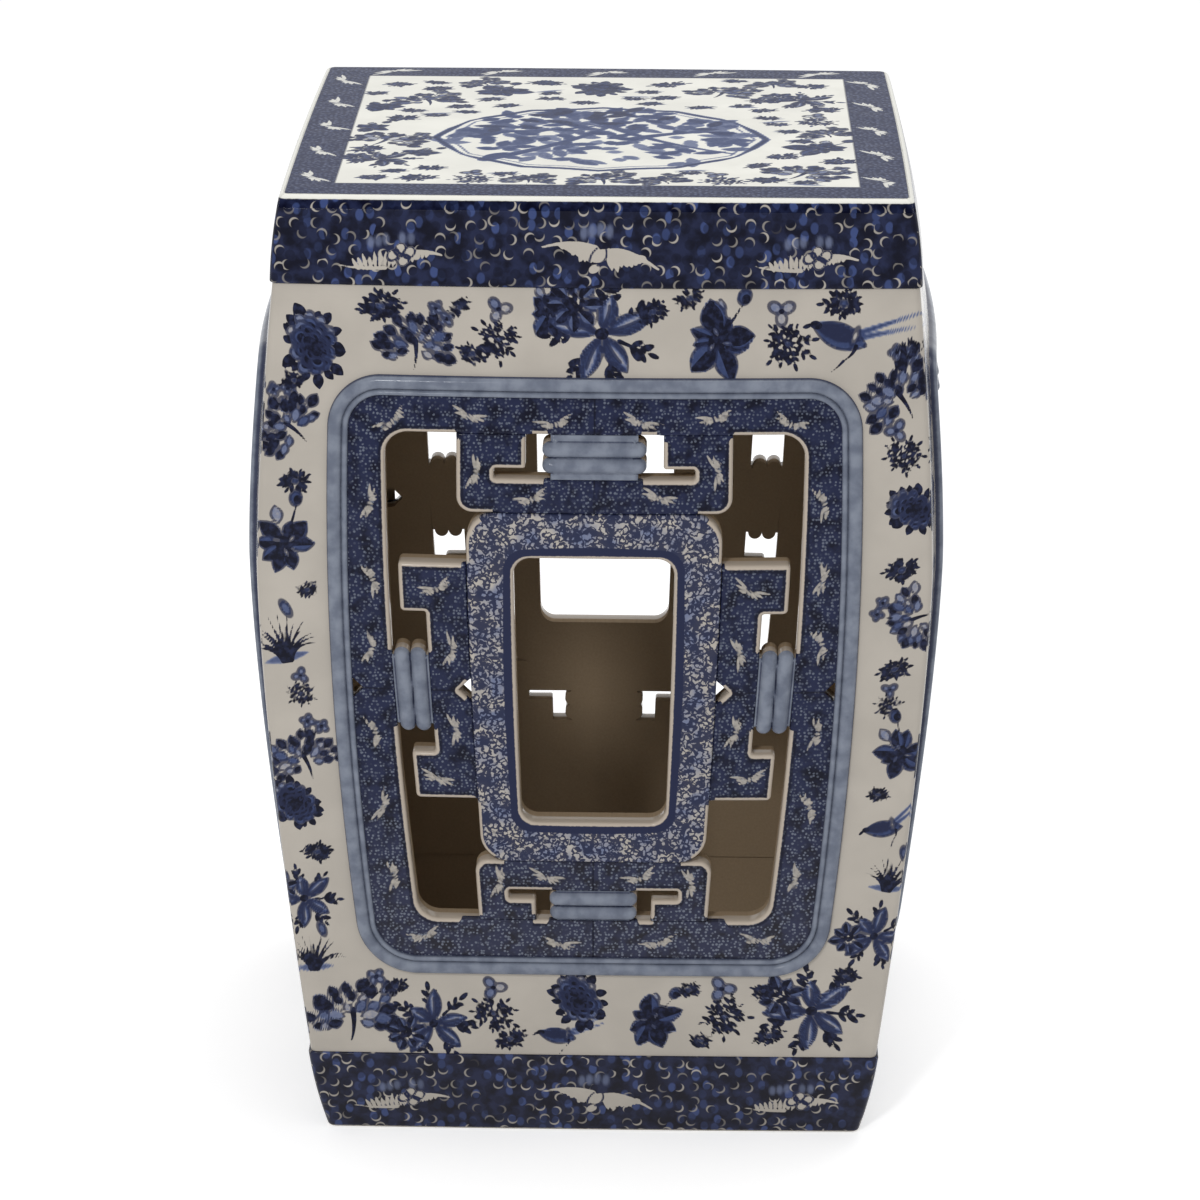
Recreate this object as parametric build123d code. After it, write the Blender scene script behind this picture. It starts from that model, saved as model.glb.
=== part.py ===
# Square, pillow-sided garden stool in slab-built porcelain.
# Millimetres, +Z up, origin at the centre of the foot, front side facing -Y.
import os

from build123d import *

# Overall sizes: each width is measured from corner to corner along one side
stool_height = 470.0
seat_width = 288.0
shoulder_width = 295.0
belly_width = 312.5
ankle_width = 274.0
foot_width = 259.0
belly_height = 292.0
barrel_power = 1.5

# Pillow of each side: how far its middle stands outside the line between its corners
belly_bulge = 9.0
foot_bulge = 1.0
bulge_reach = 180.0

# Walls, bands and seat slab
wall_thickness = 13.0
upper_band_height = 40.5
base_band_height = 43.5
band_step = 1.2
band_swell = 0.9
band_edge_radius = 1.0
foot_edge_radius = 1.6
corner_radius = 3.5
inner_corner_radius = 12.0
slab_edge_height = 6.0
slab_edge_radius = 2.5
slab_plug_depth = 9.0
slab_plug_clearance = 0.4

# Panel on each side: a moulding over the seam, and the openwork inside it
panel_width = 238.0
panel_height = 304.0
panel_lift = 3.5
panel_corner_radius = 21.0
moulding_width = 9.5
moulding_rise = 3.2
moulding_edge_radius = 2.4
frame_stile_width = 16.5
frame_rail_height = 20.0
opening_corner_radius = 11.0
lattice_taper = 0.12
frame_notch = 5.0

# Ring in the middle of the openwork
ring_band = 21.0
ring_corner_radius = 14.0
ring_hole_corner_radius = 8.0
ring_rise = 1.5

# Brackets between the ring and the frame, which set the ring's size
top_bracket_height = 37.0
bottom_bracket_height = 32.0
cross_bracket_width = 122.0
cross_bracket_bar = 16.0
cross_bracket_corner_radius = 7.0
slot_width = 7.5
slot_foot_length = 14.0
slot_foot_height = 5.0
side_bracket_height = 119.0
side_bracket_lift = 4.0
side_bracket_stem = 19.0
side_arm_height = 24.0
side_arm_reach = 11.5
side_arm_gap = 5.5
side_notch = 6.0

# Ties: a bar with two half-round ribs, and lobed ends
cross_tie_length = 46.0
side_tie_length = 42.0
side_tie_lift = 0.5
tie_lobe_width = 7.4
rib_inset = 0.3
rib_rise = 3.0

# How far a cutting shape runs past what it cuts
overrun = 4.0

# Places that follow from the sizes above
shoulder_height = stool_height - upper_band_height
slab_seat_height = stool_height - slab_edge_height
reach = belly_width / 2 + belly_bulge + moulding_rise + overrun
panel_center_height = (base_band_height + shoulder_height) / 2 + panel_lift
opening_half = panel_width / 2 - moulding_width - frame_stile_width
opening_top = panel_center_height + panel_height / 2 - moulding_width - frame_rail_height
opening_bottom = panel_center_height - panel_height / 2 + moulding_width + frame_rail_height
arm_end = opening_half - side_arm_gap
stem_edge = arm_end - side_arm_reach
ring_half = stem_edge - side_bracket_stem
ring_top = opening_top - top_bracket_height
ring_bottom = opening_bottom + bottom_bracket_height
ring_center_height = (ring_top + ring_bottom) / 2
side_bracket_center_height = ring_center_height + side_bracket_lift
side_tie_center_height = ring_center_height + side_tie_lift


def levels(low, high, steps):
    """Evenly spaced heights from low to high."""
    return [low + (high - low) * step / steps for step in range(steps + 1)]


def barrel_half(z):
    """Half width of the walls at their corners: full at the belly, with a power-law drop to each end."""
    if z > belly_height:
        drop = (belly_width - shoulder_width) / 2
        span = shoulder_height - belly_height
    else:
        drop = (belly_width - ankle_width) / 2
        span = belly_height - base_band_height
    return belly_width / 2 - drop * (abs(z - belly_height) / span) ** barrel_power


def face_bulge(z):
    """How far the middle of a side stands out: a parabola over the height, level along the base."""
    span = bulge_reach if z > belly_height else belly_height - base_band_height
    share = max(0.0, 1 - ((z - belly_height) / span) ** 2)
    return foot_bulge + (belly_bulge - foot_bulge) * share


def face_depth(x, z):
    """Distance of a wall's outer surface from the middle of the stool, at x along the side."""
    half = barrel_half(z)
    return half + face_bulge(z) * (1 - (x / half) ** 2)


def band_half(z, low, high, half_low, half_high):
    """Half width of a band: straight from its lower to its upper edge, with a slight swell."""
    share = (z - low) / (high - low)
    return half_low + (half_high - half_low) * share + 4 * band_swell * share * (1 - share)


def upper_half(z):
    """Half width of the upper band, which narrows to the seat."""
    return band_half(z, shoulder_height, stool_height, shoulder_width / 2 + band_step, seat_width / 2)


def base_half(z):
    """Half width of the base band, which narrows to the foot."""
    return band_half(z, 0, base_band_height, foot_width / 2, ankle_width / 2 + band_step)


def pillow(z, half, corner):
    """Level section of the stool: a square with four shallow outward arcs and rounded corners."""
    side = ThreePointArc((-half, -half), (0, -half - face_bulge(z)), (half, -half))
    outline = make_face([Rot(0, 0, 90 * turn) * side for turn in range(4)])
    return Pos(0, 0, z) * fillet(outline.vertices(), corner)


def solid_stack(half_at, low, high, steps, rise=0.0):
    """Solid with the stool's outer surface from low to high, its sides moved out by rise."""
    return loft([pillow(z, half_at(z) + rise, corner_radius) for z in levels(low, high, steps)])


def hollow_stack(half_at, low, high, steps):
    """Hollow inside the stool from low to high, one wall thickness in from the outer surface."""
    heights = levels(low - overrun, high + overrun, steps)
    return loft([pillow(z, half_at(z) - wall_thickness, inner_corner_radius) for z in heights])


def front_quarter():
    """Wedge between the two mitre planes of the front side."""
    far = 2 * reach
    wedge = make_face(Polyline((0, 0), (-far, -far), (far, -far), close=True))
    return Pos(0, 0, -overrun) * extrude(wedge, stool_height + 2 * overrun)


# Outlines on a side, drawn in x and height
def barrel_share(z):
    """Width of the barrel at height z, as a share of its width at the panel's middle."""
    return barrel_half(z) / barrel_half(panel_center_height)


def lattice_share(z):
    """Width of the openwork at height z, which narrows a little faster than the barrel."""
    return barrel_share(z) * (1 + lattice_taper * (z - panel_center_height) / panel_height)


def bowed_outline(half, bottom, top, radius, share):
    """Upright outline with bowed sides, level ends and rounded corners."""
    middle = (bottom + top) / 2
    right = [(half * share(z), z) for z in (bottom, middle, top)]
    left = [(-x, z) for x, z in reversed(right)]
    sides = [ThreePointArc(*right), ThreePointArc(*left)]
    ends = [Line(right[-1], left[0]), Line(left[-1], right[0])]
    outline = make_face(sides + ends)
    return fillet(outline.vertices(), radius)


def panel_outline(inset):
    """Outer outline of the moulding, moved inwards by inset."""
    half = panel_width / 2 - inset
    bottom = panel_center_height - panel_height / 2 + inset
    top = panel_center_height + panel_height / 2 - inset
    return bowed_outline(half, bottom, top, panel_corner_radius - inset, barrel_share)


def lattice_polygon(points):
    """Straight-sided outline that narrows with the openwork."""
    return make_face(Polyline(*[(x * lattice_share(z), z) for x, z in points], close=True))


def lattice_box(x_low, x_high, bottom, top):
    """Four-cornered outline that narrows with the openwork."""
    return lattice_polygon([(x_low, bottom), (x_high, bottom), (x_high, top), (x_low, top)])


def notch(base_x, point_x, z):
    """Small triangle, as tall as twice its depth, with its base on one x and its point on another."""
    half = abs(point_x - base_x)
    return lattice_polygon([(base_x, z - half), (point_x, z), (base_x, z + half)])


def cross_bracket(ring_edge, frame_edge):
    """Bracket above or below the ring: a bar with two hooked posts that stand against the frame."""
    way = 1 if frame_edge > ring_edge else -1
    bar_edge = ring_edge + way * cross_bracket_bar
    foot_edge = bar_edge + way * slot_foot_height
    half = cross_bracket_width / 2
    post = cross_tie_length / 2 + slot_width
    outline = lattice_box(-half, half, min(ring_edge, frame_edge), max(ring_edge, frame_edge))
    free_corners = outline.vertices().sort_by(Axis.Y, reverse=way < 0)[:2]
    outline = fillet(free_corners, cross_bracket_corner_radius)
    outline -= lattice_box(-post, post, min(bar_edge, frame_edge), max(bar_edge, frame_edge))
    foot = post + slot_foot_length
    return outline - lattice_box(-foot, foot, min(bar_edge, foot_edge), max(bar_edge, foot_edge))


def side_bracket(way):
    """Bracket beside the ring: a stem with an arm at each end, notched where it meets the ring."""
    bottom = side_bracket_center_height - side_bracket_height / 2
    top = side_bracket_center_height + side_bracket_height / 2
    points = [
        (ring_half - overrun, bottom),
        (arm_end, bottom),
        (arm_end, bottom + side_arm_height),
        (stem_edge, bottom + side_arm_height),
        (stem_edge, top - side_arm_height),
        (arm_end, top - side_arm_height),
        (arm_end, top),
        (ring_half - overrun, top),
    ]
    outline = lattice_polygon([(way * x, z) for x, z in points]) - ring_outline
    notch_base = way * (ring_half - overrun)
    notch_point = way * (ring_half + side_notch)
    return outline - notch(notch_base, notch_point, side_tie_center_height)


def lobes(center, length, angle):
    """Two long rounded lobes side by side, along x or, turned by angle, along the height."""
    pair = [Pos(0, side * tie_lobe_width / 2) * SlotOverall(length, tie_lobe_width) for side in (-1, 1)]
    return Pos(*center) * Rot(0, 0, angle) * (pair[0] + pair[1])


def cross_tie(ring_edge, frame_edge, bracket):
    """Tie from a bracket's bar to the frame, and the middle of its ribs."""
    way = 1 if frame_edge > ring_edge else -1
    bar_edge = ring_edge + way * cross_bracket_bar
    half = cross_tie_length / 2 - tie_lobe_width / 2
    low, high = sorted((bar_edge, frame_edge))
    center = (0, (low + high) / 2)
    outline = lattice_box(-half, half, low, high) + lobes(center, cross_tie_length, 0)
    return (outline & opening) - bracket, center


def side_tie(way, bracket):
    """Tie from a side bracket's stem to the frame, and the middle of its ribs."""
    bottom = side_tie_center_height - side_tie_length / 2 + tie_lobe_width / 2
    top = side_tie_center_height + side_tie_length / 2 - tie_lobe_width / 2
    inner = way * (stem_edge - overrun)
    outer = way * (opening_half + overrun)
    middle = way * (stem_edge + opening_half) / 2
    center = (middle * lattice_share(side_tie_center_height), side_tie_center_height)
    box = lattice_box(min(inner, outer), max(inner, outer), bottom, top)
    outline = box + lobes(center, side_tie_length, 90)
    return (outline & opening) - bracket, center


def capsule(radius, length):
    """Round bar along +Z from the origin, with a dome past each end."""
    middle = radius / 2**0.5
    profile = [
        Line((0, -radius), (0, length + radius)),
        ThreePointArc((0, length + radius), (middle, length + middle), (radius, length)),
        Line((radius, length), (radius, 0)),
        ThreePointArc((radius, 0), (middle, -middle), (0, -radius)),
    ]
    return revolve(Plane.XZ * make_face(profile), Axis.Z)


def rib(start, end):
    """Half-round rib with domed ends, laid on the wall's surface between two points of the side."""
    radius = tie_lobe_width / 2 - rib_inset
    sunk = rib_rise - radius
    first, last = [Vector(x, -face_depth(x, z) - sunk, z) for x, z in (start, end)]
    along = last - first
    return Plane(origin=first, z_dir=along) * capsule(radius, along.length)


def ribs(center, length, upright):
    """The two ribs of a tie, side by side along its lobes."""
    half = length / 2 - tie_lobe_width / 2
    pair = []
    for side in (-tie_lobe_width / 2, tie_lobe_width / 2):
        along, across = (0, half), (side, 0)
        if not upright:
            along, across = (half, 0), (0, side)
        middle = (center[0] + across[0], center[1] + across[1])
        start = (middle[0] - along[0], middle[1] - along[1])
        end = (middle[0] + along[0], middle[1] + along[1])
        pair.append(rib(start, end))
    return pair


def through(outline):
    """Bar of a side's outline, from the middle of the stool out past the front."""
    return extrude(Plane.XZ * outline, reach + overrun)


window = panel_outline(moulding_width / 2)
opening = bowed_outline(
    opening_half, opening_bottom, opening_top, opening_corner_radius, lattice_share
)
ring_outline = bowed_outline(ring_half, ring_bottom, ring_top, ring_corner_radius, lattice_share)
ring_hole = bowed_outline(
    ring_half - ring_band,
    ring_bottom + ring_band,
    ring_top - ring_band,
    ring_hole_corner_radius,
    lattice_share,
)

# Solids shared by the pieces of a side
quarter = front_quarter()
barrel = solid_stack(barrel_half, base_band_height, shoulder_height, 6)
barrel_hollow = hollow_stack(barrel_half, base_band_height, shoulder_height, 6)
board = (barrel - barrel_hollow) & quarter
ring_barrel = solid_stack(barrel_half, base_band_height, shoulder_height, 6, ring_rise)
moulding_barrel = solid_stack(barrel_half, base_band_height, shoulder_height, 6, moulding_rise)


def upper_band():
    """Strip under the seat, with its lower edge rounded where it stands out over the wall."""
    outer = solid_stack(upper_half, shoulder_height, slab_seat_height, 2)
    outer = fillet(outer.faces().sort_by(Axis.Z)[0].edges(), band_edge_radius)
    return (outer - hollow_stack(upper_half, shoulder_height, slab_seat_height, 2)) & quarter


def base_band():
    """Strip at the foot, rounded at the foot and where it stands out under the wall."""
    outer = solid_stack(base_half, 0, base_band_height, 2)
    outer = fillet(outer.faces().sort_by(Axis.Z)[0].edges(), foot_edge_radius)
    outer = fillet(outer.faces().sort_by(Axis.Z)[-1].edges(), band_edge_radius)
    return (outer - hollow_stack(base_half, 0, base_band_height, 2)) & quarter


def top_slab():
    """Seat: a slab with a rounded rim, and a plug that locates it between the upper bands."""
    slab = solid_stack(upper_half, slab_seat_height, stool_height, 1)
    slab = fillet(slab.faces().sort_by(Axis.Z)[-1].edges(), slab_edge_radius)
    plug_half = upper_half(slab_seat_height) - wall_thickness - slab_plug_clearance
    plug = extrude(pillow(slab_seat_height, plug_half, inner_corner_radius), -slab_plug_depth)
    return slab + plug


def moulding():
    """Round bead over the seam between the wall and the lattice frame."""
    outline = panel_outline(0) - panel_outline(moulding_width)
    bead = (through(outline) & moulding_barrel) - barrel
    crown = bead.faces().sort_by(lambda face: face.center().Y)[0]
    return fillet(crown.edges(), moulding_edge_radius)


def lattice_frame():
    """Band around the openwork, with a small notch beside the moulding on each side."""
    outline = window - opening
    edge = panel_width / 2 - moulding_width
    for way in (-1, 1):
        outline -= notch(way * edge, way * (edge - frame_notch), side_tie_center_height)
    return board & through(outline)


def ring():
    """Upright ring, a little proud of the rest of the openwork."""
    return (ring_barrel & through(ring_outline - ring_hole)) - barrel_hollow


def tie(outline, center, length, upright):
    """One tie: its lobed bar through the wall, with its two ribs on the outside."""
    lower, upper = ribs(center, length, upright)
    return (board & through(outline)) + lower + upper


def side_pieces():
    """Every piece of the front side, by name."""
    outlines = {
        "bracket_top": cross_bracket(ring_top, opening_top),
        "bracket_bottom": cross_bracket(ring_bottom, opening_bottom),
        "bracket_left": side_bracket(-1),
        "bracket_right": side_bracket(1),
    }
    pieces = {name: board & through(outline) for name, outline in outlines.items()}
    ties = [
        tie(*cross_tie(ring_top, opening_top, outlines["bracket_top"]), cross_tie_length, False),
        tie(*cross_tie(ring_bottom, opening_bottom, outlines["bracket_bottom"]), cross_tie_length, False),
        tie(*side_tie(-1, outlines["bracket_left"]), side_tie_length, True),
        tie(*side_tie(1, outlines["bracket_right"]), side_tie_length, True),
    ]
    pieces["ties"] = Compound(children=[one.solid() for one in ties])
    pieces["wall"] = board - through(window)
    pieces["moulding"] = moulding()
    pieces["lattice_frame"] = lattice_frame()
    pieces["ring"] = ring()
    pieces["upper_band"] = upper_band()
    pieces["base_band"] = base_band()
    return pieces


os.makedirs("parts", exist_ok=True)
export_step(top_slab(), "parts/top_slab.step")
for piece_name, piece in side_pieces().items():
    for turn, side_name in enumerate(("front", "right", "back", "left")):
        export_step(Rot(0, 0, 90 * turn) * piece, f"parts/{side_name}_{piece_name}.step")
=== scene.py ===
# %% [markdown]
# # A blue-and-white porcelain stool
# The stool is a square barrel built from clay slabs: a seat, four walls, bands above and below, and an
# openwork lattice in each side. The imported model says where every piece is. Each piece is made again
# here as a fine surface in the same place, so that it can carry soft clay edges, glaze and brushwork.

# %% Load the frame
import math

import bpy
import numpy as np
from mathutils import Euler, Matrix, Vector
from mathutils.geometry import delaunay_2d_cdt


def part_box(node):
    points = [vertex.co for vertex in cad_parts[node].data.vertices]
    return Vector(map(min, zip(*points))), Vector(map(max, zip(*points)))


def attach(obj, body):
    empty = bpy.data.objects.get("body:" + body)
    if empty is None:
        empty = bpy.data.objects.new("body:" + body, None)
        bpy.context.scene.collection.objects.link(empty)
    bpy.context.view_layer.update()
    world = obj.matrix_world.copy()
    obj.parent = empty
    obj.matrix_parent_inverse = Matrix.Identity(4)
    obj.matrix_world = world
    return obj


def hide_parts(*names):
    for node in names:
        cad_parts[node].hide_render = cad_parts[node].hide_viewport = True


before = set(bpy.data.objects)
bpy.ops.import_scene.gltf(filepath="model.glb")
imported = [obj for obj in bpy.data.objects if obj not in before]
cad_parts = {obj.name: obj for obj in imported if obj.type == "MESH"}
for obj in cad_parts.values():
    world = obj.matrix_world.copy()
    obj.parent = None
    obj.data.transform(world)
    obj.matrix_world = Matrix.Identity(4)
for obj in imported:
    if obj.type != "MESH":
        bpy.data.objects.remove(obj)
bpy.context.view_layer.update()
MM = 0.001
SIDES = ("front", "right", "back", "left")
stool_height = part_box("top_slab")[1].z / MM
shoulder_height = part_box("front_wall")[1].z / MM
base_band_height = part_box("front_wall")[0].z / MM
print(f"{len(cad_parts)} nodes; walls from {base_band_height:.1f} to {shoulder_height:.1f} mm")

# %% [markdown]
# ## The camera
# A long lens stands about two metres away and looks down on the seat. It is made first, because every
# later choice is judged through it. The yaw turns camera and view together about the stool's axis.

# %% Set up the camera
camera_distance = 2144.0
camera_height = 940.6
camera_pitch = math.radians(18.34)
camera_yaw = math.radians(1.0)
camera_roll = math.radians(0.25)
camera_lens = 135.5

camera = bpy.data.objects.new("camera", bpy.data.cameras.new("camera"))
bpy.context.scene.collection.objects.link(camera)
camera.data.lens = camera_lens
camera.location = (
    camera_distance * MM * math.sin(camera_yaw),
    -camera_distance * MM * math.cos(camera_yaw),
    camera_height * MM,
)
level_camera = Euler((math.pi / 2 - camera_pitch, 0, camera_yaw)).to_matrix()
camera.rotation_euler = (level_camera @ Matrix.Rotation(camera_roll, 3, "Z")).to_euler()
bpy.context.scene.camera = camera
print(f"camera with a {camera_lens} mm lens, {camera_distance / 1000:.2f} m from the axis")

# %% [markdown]
# ## The pillow-shaped side
# Every piece lies on one curved surface. A level cut through the stool is a square with four shallow
# outward arcs. Its half width swells to the belly and shrinks to both ends, and the arcs are fullest a
# little above the belly. All formulas are in millimetres, for the side that faces the camera.

# %% Shape of a side
shoulder_width = 295.0
belly_width = 312.5
ankle_width = 274.0
belly_height = 292.0
barrel_power = 1.5
belly_bulge = 9.0
foot_bulge = 1.0
bulge_height = 315.0
bulge_reach = 155.0
wall_thickness = 13.0
corner_radius = 3.5
inner_corner_radius = 12.0


def barrel_half(z):
    """Half width at the corners: half the belly, less a power of the distance from the belly."""
    above = z > belly_height
    drop = np.where(above, belly_width - shoulder_width, belly_width - ankle_width) / 2
    span = np.where(above, shoulder_height - belly_height, belly_height - base_band_height)
    return belly_width / 2 - drop * (np.abs(z - belly_height) / span) ** barrel_power


def face_bulge(z):
    """How far a side's middle stands out: a parabola above its fullest height, half a wave below it."""
    above = 1 - ((z - bulge_height) / bulge_reach) ** 2
    way_down = np.clip((bulge_height - z) / (bulge_height - base_band_height), 0, 1)
    below = 0.5 + 0.5 * np.cos(np.pi * way_down)
    share = np.where(z > bulge_height, np.maximum(0, above), below)
    return foot_bulge + (belly_bulge - foot_bulge) * share


def corner_facts(half, bulge, radius):
    """Where the arc of a side meets its rounded corner, its lean there, and the unrolled way to the mitre."""
    slope = 2 * bulge / half
    lean = np.arctan(slope)
    start = half - radius * (1 - slope) / (np.hypot(1, slope) * (1 + slope))
    return start, lean, start + radius * (np.pi / 4 - lean)


def wrap_section(p, half, bulge, radius):
    """x and depth at unrolled distance p: half + bulge * (1 - (x / half)^2), then a circle at the corner."""
    start, lean, _ = corner_facts(half, bulge, radius)
    flat = np.minimum(np.abs(p), start)
    angle = lean + np.maximum(np.abs(p) - start, 0) / radius
    depth = half + bulge * (1 - (flat / half) ** 2)
    x = flat + radius * (np.sin(angle) - np.sin(lean))
    return np.sign(p) * x, depth - radius * (np.cos(lean) - np.cos(angle))


def side_surface(flat, rise=0.0, radius=corner_radius):
    """Points of the front side at unrolled places, across and up, moved out by rise."""
    p, z = flat[..., 0], flat[..., 1]
    x, depth = wrap_section(p, barrel_half(z) + rise, face_bulge(z), radius)
    return np.stack(np.broadcast_arrays(x, -depth, z), axis=-1)


print(f"belly {belly_width} mm wide, bulging {belly_bulge} mm")

# %% [markdown]
# ## From grids to meshes
# A shape worked out on a grid is an array of points. The faces are the grid's squares, numbered with
# whole-array arithmetic. A closed shape has a signed volume, so its sign tells whether the faces look
# outwards, and they are turned round if they do not. Painted marks ride along as point attributes.

# %% Mesh helpers
sharp_angle = math.radians(50)


def grid_faces(rows, columns, wrap_rows=False, wrap_columns=False):
    """Corner numbers of the squares of a grid, joined round where asked."""
    row = np.arange(rows if wrap_rows else rows - 1)[:, None]
    column = np.arange(columns if wrap_columns else columns - 1)[None, :]
    next_row = (row + 1) % rows
    next_column = (column + 1) % columns
    corners = [
        row * columns + column,
        row * columns + next_column,
        next_row * columns + next_column,
        next_row * columns + column,
    ]
    return np.stack(corners, axis=-1).reshape(-1, 4)


def six_volumes(points, group):
    """Six times the signed volume under a group of faces, each cut into a fan of triangles."""
    corners = points[group]
    total = 0.0
    for step in range(1, group.shape[1] - 1):
        total += np.sum(corners[:, 0] * np.cross(corners[:, step], corners[:, step + 1]))
    return total


def lay_mesh(name, points, groups):
    """Smooth mesh from points in mm and groups of faces with equal numbers of corners, facing outwards."""
    if sum(six_volumes(points, group) for group in groups) < 0:
        groups = [group[:, ::-1] for group in groups]
    corners = np.concatenate([group.ravel() for group in groups])
    sizes = np.concatenate([np.full(len(group), group.shape[1]) for group in groups])
    mesh = bpy.data.meshes.new(name)
    mesh.vertices.add(len(points))
    mesh.vertices.foreach_set("co", (points * MM).astype(np.float32).ravel())
    mesh.loops.add(len(corners))
    mesh.loops.foreach_set("vertex_index", corners.astype(np.int32))
    mesh.polygons.add(len(sizes))
    mesh.polygons.foreach_set("loop_start", (np.cumsum(sizes) - sizes).astype(np.int32))
    mesh.update(calc_edges=True)
    mesh.validate()
    mesh.shade_smooth()
    mesh.set_sharp_from_angle(angle=sharp_angle)
    return mesh


print("mesh helpers ready")

# %% Pieces and their marks
side_shift = 400.0


def lay_mark(mesh, name, values):
    """Number or vector for every point of a mesh, under a name that a glaze can read."""
    if values.size == 3 * len(mesh.vertices):
        mark = mesh.attributes.new(name, "FLOAT_VECTOR", "POINT")
        mark.data.foreach_set("vector", values.astype(np.float32).ravel())
    else:
        mark = mesh.attributes.new(name, "FLOAT", "POINT")
        mark.data.foreach_set("value", values.astype(np.float32).ravel())


def turned(points, turn):
    """Points of the front side, turned by quarter turns about the stool's axis to another side."""
    x, y, z = points.T
    for _ in range(turn):
        x, y = -y, x
    return np.stack([x, y, z], axis=-1)


def place_piece(node, points, groups, marks, slot):
    """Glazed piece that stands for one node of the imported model."""
    mesh = lay_mesh(f"glazed_{node}", points.reshape(-1, 3), groups)
    for name, values in marks.items():
        lay_mark(mesh, name, values)
    piece = bpy.data.objects.new(f"glazed_{node}", mesh)
    bpy.context.scene.collection.objects.link(piece)
    mesh.materials.append(glazes[slot])
    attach(piece, "root")
    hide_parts(node)


def place_sides(name, points, groups, marks_for, slot):
    """The same piece on all four sides, each with its own marks."""
    points = points.reshape(-1, 3)
    for turn, side in enumerate(SIDES):
        place_piece(f"{side}_{name}", turned(points, turn), groups, marks_for(turn), slot)
    triangles = sum(len(group) * (group.shape[1] - 2) for group in groups)
    print(f"{name}: {len(points)} points and {triangles} triangles on each side")


def place_marks(flat, turn, lift=0.0):
    """Vector mark for patterns: place along the side, height, and a shift that differs from side to side."""
    p, z = flat.reshape(-1, 2).T
    return np.stack([p + side_shift * turn, z + lift, 0 * p], axis=-1)


print("pieces can be placed")

# %% [markdown]
# ## Glazes as arithmetic
# A glaze is a shader tree. Written as Python expressions it stays readable: a Signal wraps one socket,
# its operators add Math nodes, and its node method adds every other kind of node.

# %% Shader signals
class Signal:
    """One socket of a shader tree. Operators on it add Math nodes, and node() adds any other node."""

    def __init__(self, tree, socket=None):
        self.tree = tree
        self.socket = socket

    def node(self, kind, settings, values, output=0):
        """New node of a kind: its settings first, then a value or a link for each named socket."""
        made = self.tree.nodes.new(kind)
        for key, value in settings.items():
            setattr(made, key, value)
        for key, value in values.items():
            if isinstance(value, Signal):
                self.tree.links.new(value.socket, made.inputs[key])
            else:
                made.inputs[key].default_value = value
        return Signal(self.tree, made.outputs[output])

    def math(self, operation, *values):
        """One Math node."""
        return self.node("ShaderNodeMath", {"operation": operation}, dict(enumerate(values)))

    def __add__(self, other):
        return self.math("ADD", self, other)

    __radd__ = __add__

    def __sub__(self, other):
        return self.math("SUBTRACT", self, other)

    def __rsub__(self, other):
        return self.math("SUBTRACT", other, self)

    def __mul__(self, other):
        return self.math("MULTIPLY", self, other)

    __rmul__ = __mul__

    def __abs__(self):
        return self.math("ABSOLUTE", self)

    def lower(self, other):
        """The smaller of two values."""
        return self.math("MINIMUM", self, other)

    def higher(self, other):
        """The larger of two values."""
        return self.math("MAXIMUM", self, other)

    def rise(self, low, high):
        """0 below low, 1 above high, and a smooth slope between."""
        ends = {"From Min": low, "From Max": high, "Value": self}
        return self.node("ShaderNodeMapRange", {"interpolation_type": "SMOOTHSTEP"}, ends)

    def fall(self, low, high):
        """1 below low, 0 above high, and a smooth slope between."""
        return 1 - self.rise(low, high)

    def blend(self, first, second):
        """Colour that goes from first to second as this value goes from 0 to 1."""
        return self.node("ShaderNodeMix", {"data_type": "RGBA"}, {0: self, 6: first, 7: second}, 2)

    def mark(self, name, output="Fac"):
        """Painted mark of the piece, by name."""
        return self.node("ShaderNodeAttribute", {"attribute_name": name}, {}, output)

    def noise(self, vector, scale, detail=2.0, distortion=0.0):
        """Soft noise around one half, with the given number of bumps per unit of the vector."""
        values = {"Vector": vector, "Scale": scale, "Detail": detail, "Distortion": distortion}
        return self.node("ShaderNodeTexNoise", {}, values, "Fac")

    def waver(self, vector, scale=0.6):
        """Noise around zero, which makes painted edges waver as a brush does."""
        return self.noise(vector, scale, 3.0) - 0.5

    def spots(self, vector, spacing, jitter):
        """Spots about one spacing apart: distance to the nearest in spacings, its chances and its place."""
        values = {"Vector": vector, "Scale": 1 / spacing, "Randomness": jitter}
        near = self.node("ShaderNodeTexVoronoi", {"voronoi_dimensions": "2D"}, values, "Distance")
        outputs = near.socket.node.outputs
        return near, Signal(self.tree, outputs["Color"]), Signal(self.tree, outputs["Position"])

    def parts(self, output):
        """One part of a vector."""
        return self.node("ShaderNodeSeparateXYZ", {}, {0: self}, output)


def paint(red, green, blue):
    """Colour for the shader from the red, green and blue of a colour chart, 0 to 255."""
    chart = np.array([red, green, blue]) / 255
    light = np.where(chart <= 0.04045, chart / 12.92, ((chart + 0.055) / 1.055) ** 2.4)
    return (*light.tolist(), 1.0)


def start_glaze(name):
    """New material with an empty signal on its tree."""
    material = bpy.data.materials.new(name)
    material.use_nodes = True
    return material, Signal(material.node_tree)


print("glaze helpers ready")

# %% [markdown]
# ## Cobalt on cream
# All the blues are one pigment, cobalt, laid thick or thin under a clear glaze. Thick strokes fire nearly
# black, thin washes stay grey-blue, and the bare clay body shows as warm cream. Where no glaze reached,
# inside the stool, the clay fires a dull brown.

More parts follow.
